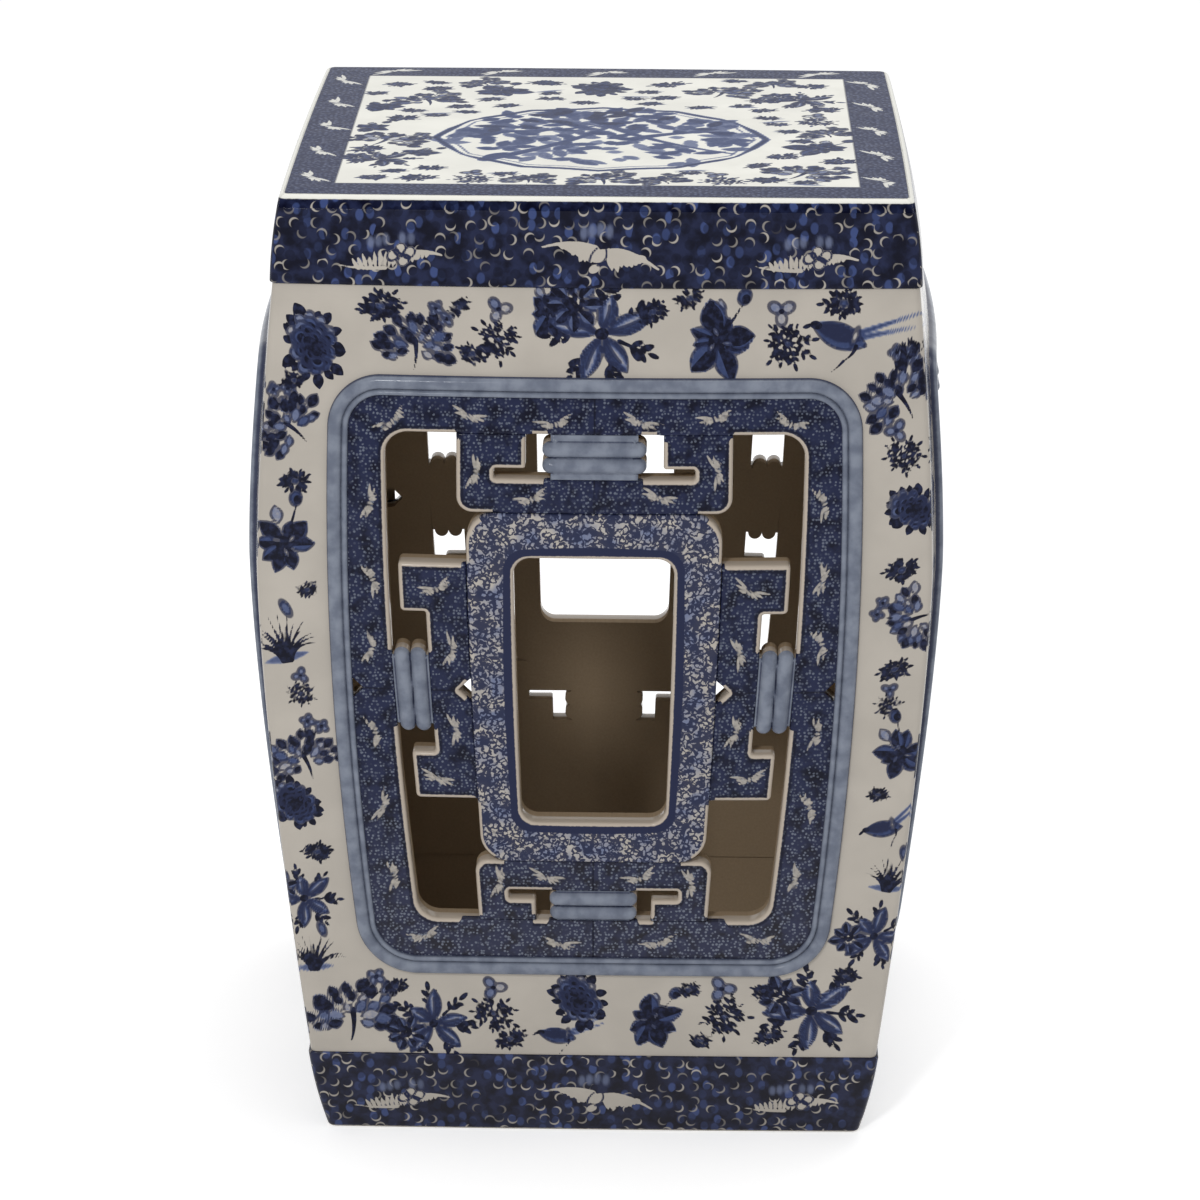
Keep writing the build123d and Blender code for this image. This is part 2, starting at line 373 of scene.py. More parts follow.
# %% Colours and shared layers
cream = paint(192, 185, 175)
# The seat's white is painted lighter than the walls' cream, a painted stand-in for the light from above.
painted_lit_seat_white = paint(234, 233, 225)
cut_cream = paint(190, 178, 164)
near_black_blue = paint(11, 13, 32)
navy = paint(35, 41, 70)
cobalt = paint(58, 71, 110)
thin_blue = paint(112, 121, 150)
band_blue = paint(62, 77, 124)
dusty_blue = paint(106, 113, 129)
pale_dusty_blue = paint(134, 141, 155)
biscuit_brown = paint(170, 150, 124)
dark_biscuit = paint(150, 131, 107)
glaze_shine = 0.12
glaze_bending = 1.5
glaze_roughness = 0.09
dull_patches = 0.08
biscuit_roughness = 0.85
wave_scale = 0.06
wave_height = 0.7
grain_scale = 0.8
grain_height = 0.06
glaze_relief = 0.5
# Painted sheen: the blue of the base band and the lattice is paled towards the foot, standing in for light
# from the floor.
floor_sheen_low = 90.0
floor_sheen_high = 220.0
band_floor_sheen = 0.025
lattice_floor_sheen = 0.035
foot_speckle_sheen = 0.8
far = 50.0
glazes = {}


def fire(name, colours, shine=glaze_shine, bending=glaze_bending):
    """Glaze from its colours: bare biscuit inside, a wavy surface, and dull patches in the gloss."""
    material, s = start_glaze(name)
    place = s.mark("place", "Vector")
    inside = s.mark("inside").rise(0.3, 0.7)
    grain = s.noise(place, grain_scale, 4.0)
    bare = grain.blend(dark_biscuit, biscuit_brown)
    waves = s.noise(place, wave_scale)
    gloss = glaze_roughness + waves * dull_patches
    height = waves * wave_height + grain * grain_height
    relief = {"Height": height, "Distance": glaze_relief * MM, "Strength": 1.0}
    made = {
        "Base Color": inside.blend(colours(s, place), bare),
        "Roughness": gloss + inside * (biscuit_roughness - glaze_roughness),
        "Normal": s.node("ShaderNodeBump", {}, relief),
    }
    shader = material.node_tree.nodes["Principled BSDF"]
    shader.inputs["Specular IOR Level"].default_value = shine
    shader.inputs["IOR"].default_value = bending
    for socket, signal in made.items():
        material.node_tree.links.new(signal.socket, shader.inputs[socket])
    glazes[name] = material
    print(f"{name}: {len(material.node_tree.nodes)} nodes")


def brush_colours(s, ground, place, darkest=near_black_blue, dark=navy):
    """Ground under wash, outline and ink marks, with edges that waver as a brush does."""
    waver = s.waver(place, 0.55)
    streak = s.noise(place, 0.35, 3.0)
    wash = s.mark("wash") + waver * 0.3
    line = s.mark("line") + waver * 0.25
    ink = s.mark("ink") + waver * 0.22
    thin = wash.rise(0.05, 0.4).blend(ground, thin_blue)
    full = wash.rise(0.35, 0.75).blend(thin, cobalt)
    deep = wash.rise(0.7, 1.0).blend(full, navy)
    drawn = (line.fall(0.45, 1.0) * 0.85).blend(deep, navy)
    strokes = streak.rise(0.4, 0.7).blend(darkest, dark)
    return ink.fall(-0.15, 0.15).blend(drawn, strokes)


def floor_sheen_share(place):
    """1 at the foot, falling to 0 about halfway up: there the blue is painted paler, a painted sheen of light
    from the floor.
    """
    return place.parts("Y").fall(floor_sheen_low, floor_sheen_high)


def bare_ground(s, place, colour):
    """Cream glaze with faint cloudy patches."""
    cloud = s.noise(place, 0.03, 3.0)
    shade = tuple(0.9 * part for part in colour[:3]) + (1.0,)
    return cloud.rise(0.3, 0.75).blend(shade, colour)


print("colours and shared layers ready")

# %% [markdown]
# ### Glaze of the walls
# The walls are cream, with flowers brushed on in cobalt. A picture could be wrapped round them, but marks on
# the mesh and noise in the shader stay sharp from near and far, so those are used.

# %% Glaze of the walls
def spray_body_colours(s, place):
    """Cream walls with flower sprays."""
    return brush_colours(s, bare_ground(s, place, cream), place)


fire("spray_body_glaze", spray_body_colours)

# %% [markdown]
# ### Glaze of the bands
# The bands are dark blue, strewn with pale curls. Each curl could be a small mesh, but thousands would be
# heavy. A Voronoi texture already scatters spots, and a disc less a shifted disc at each makes a curl.

# %% Glaze of the bands
curl_spacing = 6.7
curl_radius = 2.35
curl_bite = 0.95
curl_softness = 0.22
curl_jitter = 0.62
blot_spacing = 5.6
blot_squash = 0.72


def curl_field(s, place):
    """Navy ground scattered with pale crescents and cobalt dots: a crescent is a disc less a shifted disc."""
    near, chance, spot = s.spots(place, curl_spacing, curl_jitter)
    step = s.node("ShaderNodeVectorMath", {"operation": "SUBTRACT"}, {0: place, 1: spot})
    turn = chance.parts("X") * math.tau
    kind = chance.parts("Y")
    bite_x = step.parts("X") - s.math("COSINE", turn) * curl_bite
    bite_y = step.parts("Y") - s.math("SINE", turn) * curl_bite
    bite = s.math("SQRT", bite_x * bite_x + bite_y * bite_y)
    reach = near * curl_spacing
    soft = (curl_radius - curl_softness, curl_radius + curl_softness)
    disc = reach.fall(*soft)
    curl = disc * bite.rise(*soft) * kind.rise(0.3, 0.34)
    cloud = s.noise(place, 0.12, 3.0)
    ground = cloud.rise(0.35, 0.65).blend(near_black_blue, navy)
    squat = s.node("ShaderNodeVectorMath", {"operation": "MULTIPLY"}, {0: place, 1: (1.0, blot_squash, 1.0)})
    blot, luck, _ = s.spots(squat, blot_spacing, 1.0)
    blotted = (blot.fall(0.26, 0.4) * luck.parts("X").rise(0.3, 0.95)).blend(ground, band_blue)
    shaded = (disc * 0.45).blend(blotted, near_black_blue)
    strength = 0.25 + 0.6 * chance.parts("Z")
    return (curl * strength).blend(shaded, cream)


def curl_band_colours(s, place):
    """Navy bands with curls, cobalt dots and cream wing motifs, a bare line at the foot, and painted sheen
    near it.
    """
    # Painted sheen: near the foot the field is paled towards cream, standing in for light from the floor.
    field = (floor_sheen_share(place) * band_floor_sheen).blend(curl_field(s, place), cream)
    waver = s.waver(place)
    motif = (s.mark("reserve") + waver * 0.4).fall(-0.15, 0.15)
    dotted = (s.mark("wash") * 0.9).blend(field, thin_blue)
    winged = motif.blend(dotted, bare_ground(s, place, cream))
    drawn = ((s.mark("line") + waver * 0.2).fall(0.2, 0.6) * motif).blend(winged, navy)
    edge = s.mark("edge") + waver * 0.6
    return edge.fall(0.9, 1.4).blend(drawn, cream)


fire("curl_band_glaze", curl_band_colours)

# %% [markdown]
# ### Glaze of the lattice
# Frame and brackets are dark blue with fine speckles, and the glaze breaks to cream on cut edges. The shader
# could look for edges itself, but a stored distance from the edge is even and can be baked.

# %% Glaze of the lattice frame and brackets
speckle_spacing = 1.6


def speckle_field(s, place):
    """Navy ground with fine pale dots, denser in some places than in others, and paler with more dots near
    the foot as painted sheen.
    """
    near, chance, _ = s.spots(place, speckle_spacing, 1.0)
    cloud = s.noise(place, 0.12, 3.0)
    ground = cloud.rise(0.3, 0.6).blend(near_black_blue, navy)
    size = 0.22 + 0.16 * chance.parts("X")
    dot = (near - size).fall(-0.1, 0.12) * chance.parts("Y").rise(0.2, 0.9) * (0.35 + cloud)
    # Painted sheen: towards the foot the pale dots grow stronger and the ground pales, for light from the
    # floor.
    low = floor_sheen_share(place)
    speckled = (dot * (1 + low * foot_speckle_sheen)).blend(ground, dusty_blue)
    return (low * lattice_floor_sheen).blend(speckled, cream)


def speckled_colours(s, place):
    """Speckled navy with cream butterflies, dark creases at the moulds' seams, and cream cut edges."""
    field = speckle_field(s, place)
    waver = s.waver(place)
    motif = (s.mark("reserve") + waver * 0.3).fall(-0.2, 0.15)
    winged = (motif * (0.3 + 0.8 * s.noise(place, 0.5, 2.0))).blend(field, cream)
    crease = (s.mark("crease") + waver * 0.5).fall(0.2, 0.7)
    creased = (crease * 0.8).blend(winged, near_black_blue)
    edge = s.mark("edge") + waver * 0.7
    rim = (edge.fall(2.9, 3.9) * edge.rise(1.7, 2.3) * 0.7).blend(creased, near_black_blue)
    return edge.fall(1.5, 2.1).blend(rim, cut_cream)


fire("speckled_glaze", speckled_colours)

# %% [markdown]
# ### Glaze of the ring
# Loose blue scrolls cover the ring. Drawing each would be slow, so a Voronoi pattern is bent by noise: its
# round cells become loops, and their middles become berries.

# %% Glaze of the ring
scribble_spacing = 3.2
scribble_sway = 4.0


def scrolled_ring_colours(s, place):
    """Cream ring under dense cobalt scribble, with a plain navy rim round its hole."""
    ground = bare_ground(s, place, cream)
    sway = s.node("ShaderNodeTexNoise", {}, {"Vector": place, "Scale": 0.45, "Detail": 1.0}, "Color")
    swayed = {0: sway, 1: (scribble_sway, scribble_sway, 0.0), 2: place}
    bent = s.node("ShaderNodeVectorMath", {"operation": "MULTIPLY_ADD"}, swayed)
    near, chance, _ = s.spots(bent, scribble_spacing, 1.0)
    loop = abs(near - 0.42).fall(0.12, 0.2)
    patch = s.noise(place, 0.2, 3.0, 1.0).rise(0.5, 0.56)
    berry = near.fall(0.16, 0.26) * chance.parts("X").rise(0.4, 0.6)
    scribble = loop.higher(patch) * (1 - berry * 0.8)
    washed = s.noise(place, 0.1, 2.0).rise(0.3, 0.7).blend(ground, thin_blue)
    scrolled = (scribble * 0.95).blend(washed, navy)
    waver = s.waver(place)
    hole = s.mark("hole") + waver * 0.5
    rimmed = hole.fall(5.4, 6.0).blend(scrolled, navy)
    edge = s.mark("edge") + waver * 0.7
    return edge.fall(1.3, 1.9).blend(rimmed, cut_cream)


fire("scrolled_ring_glaze", scrolled_ring_colours)

# %% [markdown]
# ### Glaze of the beads
# Thin dusty blue runs off the ridges of a bead and pools in its grooves. Each point stores its distance from
# the nearest groove, which gives the pool a soft, even edge.

# %% Glaze of the mouldings and ties
def pale_blue_colours(s, place):
    """Dusty blue bead, paler in patches, whose glaze pools dark in the grooves."""
    cloud = s.noise(place, 0.12, 4.0)
    body = cloud.rise(0.3, 0.7).blend(dusty_blue, pale_dusty_blue)
    pool = (s.mark("groove") + (s.noise(place, 0.8, 2.0) - 0.5) * 0.3).fall(0.1, 0.75)
    pooled = (pool * 0.85).blend(body, navy)
    return s.mark("edge").fall(-1.2, -0.4).blend(pooled, cut_cream)


fire("pale_blue_glaze", pale_blue_colours)

# %% [markdown]
# ### Glaze of the seat
# The seat is painted the whitest part, a painted stand-in for the light from above, inside a dark mottled
# border. Two materials would need a mesh cut along the border, so one material does both, and a stored
# distance decides which pattern shows.

# %% Glaze of the seat
seat_shine = 0.5
seat_bending = 1.06
mottle_spacing = 2.4


def seat_colours(s, place):
    """Seat painted whiter for the light from above, with sprays, a speckled border with small butterflies,
    and a bare rim.
    """
    # Painted light: the seat's ground is whiter than the walls' cream, for the light from above.
    field = brush_colours(s, bare_ground(s, place, painted_lit_seat_white), place, navy, cobalt)
    waver = s.waver(place, 0.4)
    near, chance, _ = s.spots(place, mottle_spacing, 0.9)
    mottle = near.fall(0.15, 0.45) * (0.2 + 0.5 * chance.parts("X"))
    border_ground = (0.04 + 0.75 * mottle).blend(navy, thin_blue)
    winged = (s.mark("reserve") + waver * 0.5).fall(-0.2, 0.2)
    border = (winged * 0.8).blend(border_ground, painted_lit_seat_white)
    bordered = (s.mark("border") + waver * 0.5).rise(-0.2, 0.2).blend(field, border)
    rule = (abs(s.mark("border")) + waver * 0.3).fall(0.3, 0.7)
    ruled = (rule * 0.6).blend(bordered, navy)
    rim = s.mark("edge") + waver * 0.4
    rimmed = rim.fall(1.5, 1.9).blend(ruled, painted_lit_seat_white)
    return rim.fall(-1.6, -1.1).blend(rimmed, curl_field(s, place))


fire("seat_glaze", seat_colours, seat_shine, seat_bending)

# %% [markdown]
# ## Brushwork
# A brush mark is kept as a distance: how far each point of a piece lies from the edge of a leaf, a petal or
# a line, below zero inside it. The glaze turns distances into colour, so strokes stay crisp on a fairly
# coarse mesh. Marks are laid in a painter's order: a petal hides what lies under it, and a dab covers all.

# %% Brush marks
motif_reach = 0.8
stroke_steps = 8
stroke_thinning = 0.75


class Brushwork:
    """Marks of one piece: distances from ink, outlines and bare motifs in mm, and the tone of washes."""

    def __init__(self, flat):
        self.x, self.y = flat.reshape(-1, 2).T.copy()
        self.ink, self.line, self.reserve = [np.full(self.x.size, far) for _ in range(3)]
        self.wash = np.zeros(self.x.size)

    def marks(self, *names):
        """The named marks, by name."""
        return {name: getattr(self, name) for name in names}


class Motif:
    """The points of a piece near one motif, seen from its middle: turned, mirrored, in shares of its size."""

    def __init__(self, work, place, size, turn=0.0, flip=1):
        x, y = work.x - place[0], work.y - place[1]
        self.work, self.size = work, size
        self.under = np.flatnonzero(np.maximum(np.abs(x), np.abs(y)) < motif_reach * size)
        x, y = x[self.under] / size * flip, y[self.under] / size
        self.x = x * np.cos(turn) + y * np.sin(turn)
        self.y = y * np.cos(turn) - x * np.sin(turn)

    def seen(self, at, turn):
        """Way along a direction from a place, and way across it."""
        x, y = self.x - at[0], self.y - at[1]
        return x * np.cos(turn) + y * np.sin(turn), y * np.cos(turn) - x * np.sin(turn)

    def leaf(self, at, turn, length, width):
        """Gap to a pointed leaf: its half width is a parabola of the way along it."""
        along, across = self.seen(at, turn)
        share = np.clip(2 * along / length - 1, -1, 1)
        past = np.maximum(np.abs(along - length / 2) - length / 2, 0)
        return np.abs(across) - width / 2 * (1 - share**2) + past

    def oval(self, at, turn, length, width):
        """Gap to an oval: distance from its middle in half lengths and half widths, less one."""
        along, across = self.seen(at, turn)
        return (np.hypot(2 * along / length, 2 * across / width) - 1) * min(length, width) / 2

    def stroke(self, start, bend, stop, thick):
        """Gap to a stroke that thins out along a curve from start to stop, pulled towards bend."""
        t = np.linspace(0, 1, stroke_steps + 1)[:, None]
        path = (1 - t) ** 2 * np.array(start) + 2 * t * (1 - t) * np.array(bend) + t**2 * np.array(stop)
        x, y = path[:-1].T[..., None]
        step_x, step_y = np.diff(path, axis=0).T[..., None]
        share = ((self.x - x) * step_x + (self.y - y) * step_y) / (step_x**2 + step_y**2)
        share = np.clip(share, 0, 1)
        gap = np.hypot(self.x - x - share * step_x, self.y - y - share * step_y)
        thin = 1 - stroke_thinning * (np.arange(stroke_steps)[:, None] + share) / stroke_steps
        return (gap - thick / 2 * thin).min(0)

    def dab(self, gap):
        """Thick ink over everything."""
        ink = self.work.ink
        ink[self.under] = np.minimum(ink[self.under], gap * self.size)

    def petal(self, gap, tone):
        """Wash of one tone with an outline, hiding what lies under it."""
        work, under, gap = self.work, self.under, gap * self.size
        work.ink[under] = np.maximum(work.ink[under], -gap)
        work.line[under] = np.minimum(np.maximum(work.line[under], -gap), np.abs(gap))
        work.wash[under] = np.where(gap < 0, tone, work.wash[under])

    def tint(self, gap, tone):
        """Wash of one tone without an outline."""
        wash = self.work.wash
        wash[self.under] = np.maximum(wash[self.under], np.clip(0.5 - gap * self.size, 0, 1) * tone)

    def glow(self, gap, tone):
        """Soft change of the wash to another tone."""
        wash = self.work.wash
        share = np.clip(0.5 - gap * self.size, 0, 1)
        wash[self.under] += (tone - wash[self.under]) * share

    def shaded_leaf(self, at, turn, length, width, tone):
        """Leaf of one tone with an outline, whose half on one side of the midrib is thick ink."""
        gap = self.leaf(at, turn, length, width)
        self.petal(gap, tone)
        self.dab(np.maximum(gap + 0.006, -self.seen(at, turn)[1] - 0.12 * width))

    def leave(self, gap):
        """Shape left bare of glaze."""
        reserve = self.work.reserve
        reserve[self.under] = np.minimum(reserve[self.under], gap * self.size)

    def draw(self, gap):
        """Thin line."""
        line = self.work.line
        line[self.under] = np.minimum(line[self.under], np.maximum(gap * self.size, 0))


def ring_of(count, turn=0.0):
    """Directions spread evenly round a middle."""
    return turn + np.arange(count) * math.tau / count


def toward(turn, way, rise=None, start=(0, 0)):
    """Place in a direction from a start: on a circle, or on an oval of way across and rise up."""
    rise = way if rise is None else rise
    return start[0] + way * math.cos(turn), start[1] + rise * math.sin(turn)


print("brush ready")

# %% [markdown]
# ### Flowers and leaves
# The painter repeats a few kinds of flower, each time a little differently. So each kind is a function that
# lays its strokes in order, with some chance in their lean and size.

# %% Flowers and leaves
def fern(m, chance, turn, start, reach, leaf_length, squash=1.0):
    """Thin stem from near the middle with small oval leaves to both sides and one at its tip."""
    start, step = np.array(start), np.array(toward(turn, 1.0, squash))
    lean = math.atan2(step[1], step[0])
    m.dab(m.stroke(start, start + 0.5 * reach * step, start + reach * step, 0.04))
    for share, sides in ((0.4, (-1, 1)), (0.7, (-1, 1)), (1.0, (0,))):
        for side in sides:
            away = lean + side * chance.uniform(0.5, 0.9)
            length = leaf_length * chance.uniform(0.8, 1.2)
            at = start + share * reach * step + toward(away, 0.55 * length)
            m.dab(m.oval(at, away, length, 0.44 * length))


def peony(m, chance):
    """Full bloom, taller than wide: dark leaves about dark scalloped petals, with pale ones at its head."""
    for turn in ring_of(15, chance.uniform(0, 6)):
        size = chance.uniform(0.14, 0.24)
        at = toward(turn, 0.2, 0.28)
        m.dab(m.leaf(at, turn + chance.uniform(-0.6, 0.6), size, 0.6 * size))
    for turn in (0.3, 0.8, 1.3, 1.8, 2.4):
        m.petal(m.oval(toward(turn, 0.22, 0.32), turn, 0.14, 0.12), chance.uniform(0.2, 0.4))
    for count, way, tone in ((10, 0.23, 0.85), (8, 0.15, 1.0), (6, 0.07, 1.1)):
        for turn in ring_of(count, chance.uniform(0, 6)):
            reach = way * chance.uniform(0.8, 1.1)
            at = toward(turn, 0.8 * reach, 1.15 * reach)
            m.petal(m.oval(at, turn, 0.17, 0.16), tone * chance.uniform(0.6, 1.1))
            m.dab(m.oval((0.78 * at[0], 0.82 * at[1]), turn, 0.15, 0.12))
    m.dab(m.oval((0, 0), 0, 0.14, 0.16))


def leaf_spray(m, chance):
    """Dome of rounded leaves on a short stem, dark at its rim and paler within, with small buds beyond it."""
    m.dab(m.stroke((0.0, 0.0), (0.03, -0.2), (-0.02, -0.38), 0.07))
    for count, way, size, dark in ((12, 0.34, 0.17, 0.85), (9, 0.22, 0.17, 0.5), (6, 0.1, 0.16, 0.3)):
        for turn in np.linspace(-0.3, math.pi + 0.3, count):
            reach, lean = way * chance.uniform(0.8, 1.1), turn + chance.uniform(-0.35, 0.35)
            at = toward(turn, 1.05 * reach, 0.9 * reach, (0, -0.12))
            length = size * chance.uniform(0.8, 1.3)
            leaf = m.leaf(at, lean, length, 0.64 * length)
            m.petal(leaf, chance.uniform(0.2, 0.7))
            if chance.uniform() < dark:
                m.dab(leaf + 0.004)
    for turn in (0.6, 1.0):
        at = toward(turn, 0.48)
        m.dab(m.stroke(toward(turn, 0.25), toward(turn + 0.1, 0.36), at, 0.03))
        for side in ring_of(4, turn):
            m.petal(m.oval(toward(side, 0.05, start=at), side, 0.1, 0.08), 0.4)
        m.dab(m.oval(at, turn, 0.06, 0.05))


def broad_leaves(m, chance):
    """Rose of broad pointed leaves, most of them dark, round a few pale gaps, with a bud on a stalk."""
    m.dab(m.stroke((0, 0), (0.2, 0.18), (0.4, 0.4), 0.06))
    m.petal(m.leaf((0.06, 0.26), 1.3, 0.22, 0.14), 0.3)
    m.petal(m.oval((0.4, 0.44), 0.9, 0.18, 0.14), 0.8)
    m.dab(m.oval((0.41, 0.41), 0.9, 0.12, 0.1))
    for turn in ring_of(8, chance.uniform(0, 6)):
        size, lean = chance.uniform(0.24, 0.46), turn + chance.uniform(-0.4, 0.4)
        m.shaded_leaf(toward(turn, 0.05), lean, size, chance.uniform(0.5, 0.68) * size, 0.75)
        if chance.uniform() < 0.55:
            m.dab(m.leaf(toward(turn, 0.05), lean, 0.96 * size, 0.5 * size))
    m.dab(m.oval((0, 0), 0.4, 0.26, 0.18))
    for turn in ring_of(3, chance.uniform(0, 6)):
        m.petal(m.leaf(toward(turn, 0.05), turn + 0.6, 0.13, 0.05), chance.uniform(0.0, 0.4))


print("large flowers ready")

# %% Sprigs, small flowers and grass
def star_sprig(m, chance):
    """Small low sprig: fern stems that spread from one point, wider than tall, round a blue eye."""
    for turn in ring_of(8, chance.uniform(0, 6)):
        fern(m, chance, turn + chance.uniform(-0.2, 0.2), (0, 0), chance.uniform(0.2, 0.36), 0.16, 0.6)
    m.petal(m.oval((0, 0), 0, 0.17, 0.12), 0.7)


def blossom(m, chance):
    """Burst of fern stems with a little flower of three pale petals above it."""
    for turn in ring_of(9, chance.uniform(0, 6)):
        fern(m, chance, turn + chance.uniform(-0.2, 0.2), (0, -0.1), chance.uniform(0.22, 0.32), 0.11)
    m.dab(m.oval((0, -0.1), 0, 0.14, 0.13))
    m.petal(m.oval((0, -0.1), 0, 0.08, 0.07), 0.6)
    for turn in ring_of(3, chance.uniform(0, 6)):
        at = toward(turn, 0.1, start=(0, 0.34))
        m.petal(m.oval(at, turn, 0.18, 0.14), chance.uniform(0.2, 0.5))
    m.dab(m.oval((0, 0.34), 0, 0.08, 0.07))


def long_petals(m, chance):
    """Open flower with long folded petals, pale along their folds, a leafy head and fern stems between."""
    for turn in ring_of(7, 0.5):
        fern(m, chance, turn, toward(turn, 0.16), 0.26, 0.12)
    for turn, length in ((0.35, 0.42), (1.3, 0.3), (2.9, 0.44), (4.3, 0.4), (5.3, 0.36)):
        m.petal(m.leaf(toward(turn, 0.03), turn, length, 0.16), 0.9)
        m.glow(m.leaf(toward(turn, 0.1), turn + 0.08, 0.75 * length, 0.05), 0.25)
        m.draw(m.stroke(toward(turn, 0.05), toward(turn - 0.1, 0.2), toward(turn, 0.8 * length), 0.012))
    for turn in ring_of(8, 1.6):
        at = toward(turn, 0.07, start=(-0.24, 0.24))
        m.shaded_leaf(at, turn, chance.uniform(0.14, 0.2), 0.11, 0.6)
    m.dab(m.oval((0, 0), 0, 0.12, 0.1))


def grass_tuft(m, chance):
    """Tuft of thin blades that bend outwards from one root, with a seed head."""
    for lean in np.linspace(-1, 1, 17):
        reach = chance.uniform(0.6, 1.0)
        tip = (0.5 * lean, (0.62 - 0.4 * lean**2) * reach - 0.26)
        m.dab(m.stroke((0.06 * lean, -0.3), (0.12 * lean, -0.05), tip, 0.05))
    m.tint(m.leaf((-0.3, -0.28), 0.1, 0.6, 0.12), 0.6)
    m.dab(m.stroke((0, -0.3), (0.04, 0), (0.12, 0.3), 0.03))
    m.petal(m.oval((0.13, 0.4), 1.9, 0.22, 0.11), 0.6)


print("small flowers ready")

# %% [markdown]
# ### Birds, wings and butterflies
# One bird is painted like the flowers. On the dark bands and bars the wings are left bare instead, so that
# the cream shows, and they are put together from thin leaf shapes.

# %% Birds, wings and butterflies
def long_tailed_bird(m, chance):
    """Bird that walks to the left: soft dark body, paler belly and rump, thin legs and a long double tail."""
    m.tint(m.stroke((0.06, 0.04), (0.3, 0.12), (0.68, 0.24), 0.06), 0.75)
    m.tint(m.stroke((0.08, 0.0), (0.32, 0.05), (0.62, 0.1), 0.06), 0.7)
    m.petal(m.leaf((-0.36, 0.12), -0.36, 0.56, 0.24), 0.75)
    m.glow(m.leaf((-0.36, 0.14), -0.33, 0.5, 0.17), 1.0)
    m.petal(m.oval((0.05, 0.02), 1.2, 0.15, 0.06), 0.15)
    m.dab(m.oval((-0.33, 0.13), -0.2, 0.12, 0.085))
    m.dab(m.leaf((-0.36, 0.14), 3.5, 0.12, 0.045))
    m.dab(m.stroke((0.06, -0.08), (0.04, -0.16), (-0.06, -0.22), 0.045))
    m.dab(m.stroke((-0.06, -0.22), (-0.1, -0.27), (-0.18, -0.33), 0.03))


def feather_wings(m, chance):
    """Cream wing left bare: a comb of upright feathers, a body of overlapping petals, and long thin tips."""
    m.leave(m.stroke((-0.08, -0.09), (-0.3, -0.09), (-0.5, -0.03), 0.035))
    for share in np.linspace(0, 1, 9):
        at = (-0.32 + 0.3 * share, -0.1)
        m.leave(m.leaf(at, 2.0 - 0.9 * share, chance.uniform(0.11, 0.15) + 0.06 * share, 0.034))
    m.leave(m.stroke((0.1, 0.0), (0.26, 0.05), (0.44, -0.02), 0.07))
    for share in np.linspace(0, 1, 6):
        m.leave(m.leaf((0.12 + 0.2 * share, 0.03), -1.9, 0.12 - 0.05 * share, 0.034))
    for x, y in ((0.0, 0.02), (0.07, 0.07), (0.09, -0.04), (0.15, 0.03)):
        feather = m.oval((x, y), 0.7, 0.12, 0.09)
        m.leave(feather)
        m.draw(np.abs(feather) - 0.002)
    for way in (-0.19, -0.12, -0.05, 0.1, 0.18):
        m.tint(m.oval((way, 0.17 - 0.1 * abs(way)), 1.5, 0.1, 0.06), chance.uniform(0.6, 1.0))


def swallow_wings(m, chance):
    """Cream bird left bare: two wings smooth above and ragged below, thin tips and a round body."""
    m.leave(m.stroke((-0.04, 0.07), (-0.25, 0.15), (-0.5, 0.08), 0.06))
    m.leave(m.stroke((0.06, 0.03), (0.22, 0.1), (0.5, -0.1), 0.07))
    for share in np.linspace(0, 1, 8):
        left = chance.uniform(0.17, 0.22) - 0.15 * share
        right = chance.uniform(0.18, 0.24) - 0.12 * share
        m.leave(m.leaf((-0.05 - 0.26 * share, 0.11), -1.8 - 0.3 * share, left, 0.062))
        m.leave(m.leaf((0.07 + 0.28 * share, 0.08 - 0.06 * share), -1.4 + 0.3 * share, right, 0.062))
    m.leave(m.oval((0, 0.01), 0.5, 0.16, 0.1))
    m.leave(m.oval((-0.05, -0.1), 0.5, 0.1, 0.07))
    m.draw(m.stroke((-0.09, -0.07), (-0.1, 0.02), (-0.02, 0.08), 0.008))
    m.draw(m.stroke((-0.02, -0.07), (0.08, -0.02), (0.05, 0.07), 0.008))
    for way in (-0.14, -0.07, 0.0, 0.08):
        m.tint(m.oval((way, 0.23 - 0.2 * abs(way)), 1.5, 0.11, 0.06), chance.uniform(0.6, 1.0))


def butterfly(m, chance):
    """Small cream butterfly left bare, far wider than tall: each wing is a fan of thin feathers."""
    for side in (-1, 1):
        lift = chance.uniform(0.1, 0.45)
        for number, length in enumerate((0.58, 0.46, 0.34, 0.22)):
            turn = lift - 0.34 * number
            turn = turn if side > 0 else math.pi - turn
            length = length * chance.uniform(0.85, 1.1)
            m.leave(m.leaf(toward(turn, 0.06), turn, length, 0.085 - 0.006 * number))
    m.leave(m.oval((0, -0.05), math.pi / 2, 0.2, 0.07))


print("birds, wings and butterflies ready")

# %% [markdown]
# ## The walls
# A wall is a board with a large window. Its front runs from an outer loop, the board's own edge, to an
# inner loop, the window. Both loops have the same number of points, so straight rows between matching
# points fill the wall, and the grid closes round the back like a ring.

# %% Outlines on a side
panel_width = 238.0
panel_height = 304.0
panel_lift = 3.5
panel_spread = 1.027
panel_taper = 0.04
panel_head_drop = 3.0
panel_corner_radii = np.array([30.0, 25.0])
moulding_width = 9.5
panel_middle = (base_band_height + shoulder_height) / 2 + panel_lift
loop_counts = (200, 80, 270)


def barrel_share(z):
    """Width of the barrel at height z, as a share of its width at the panel's middle."""
    return barrel_half(z) / barrel_half(np.float64(panel_middle))


def panel_share(z):
    """Width of the panel at height z: a little over the barrel's share, and the more so the higher it is."""
    return barrel_share(z) * (panel_spread + panel_taper * (z - panel_middle) / panel_height)


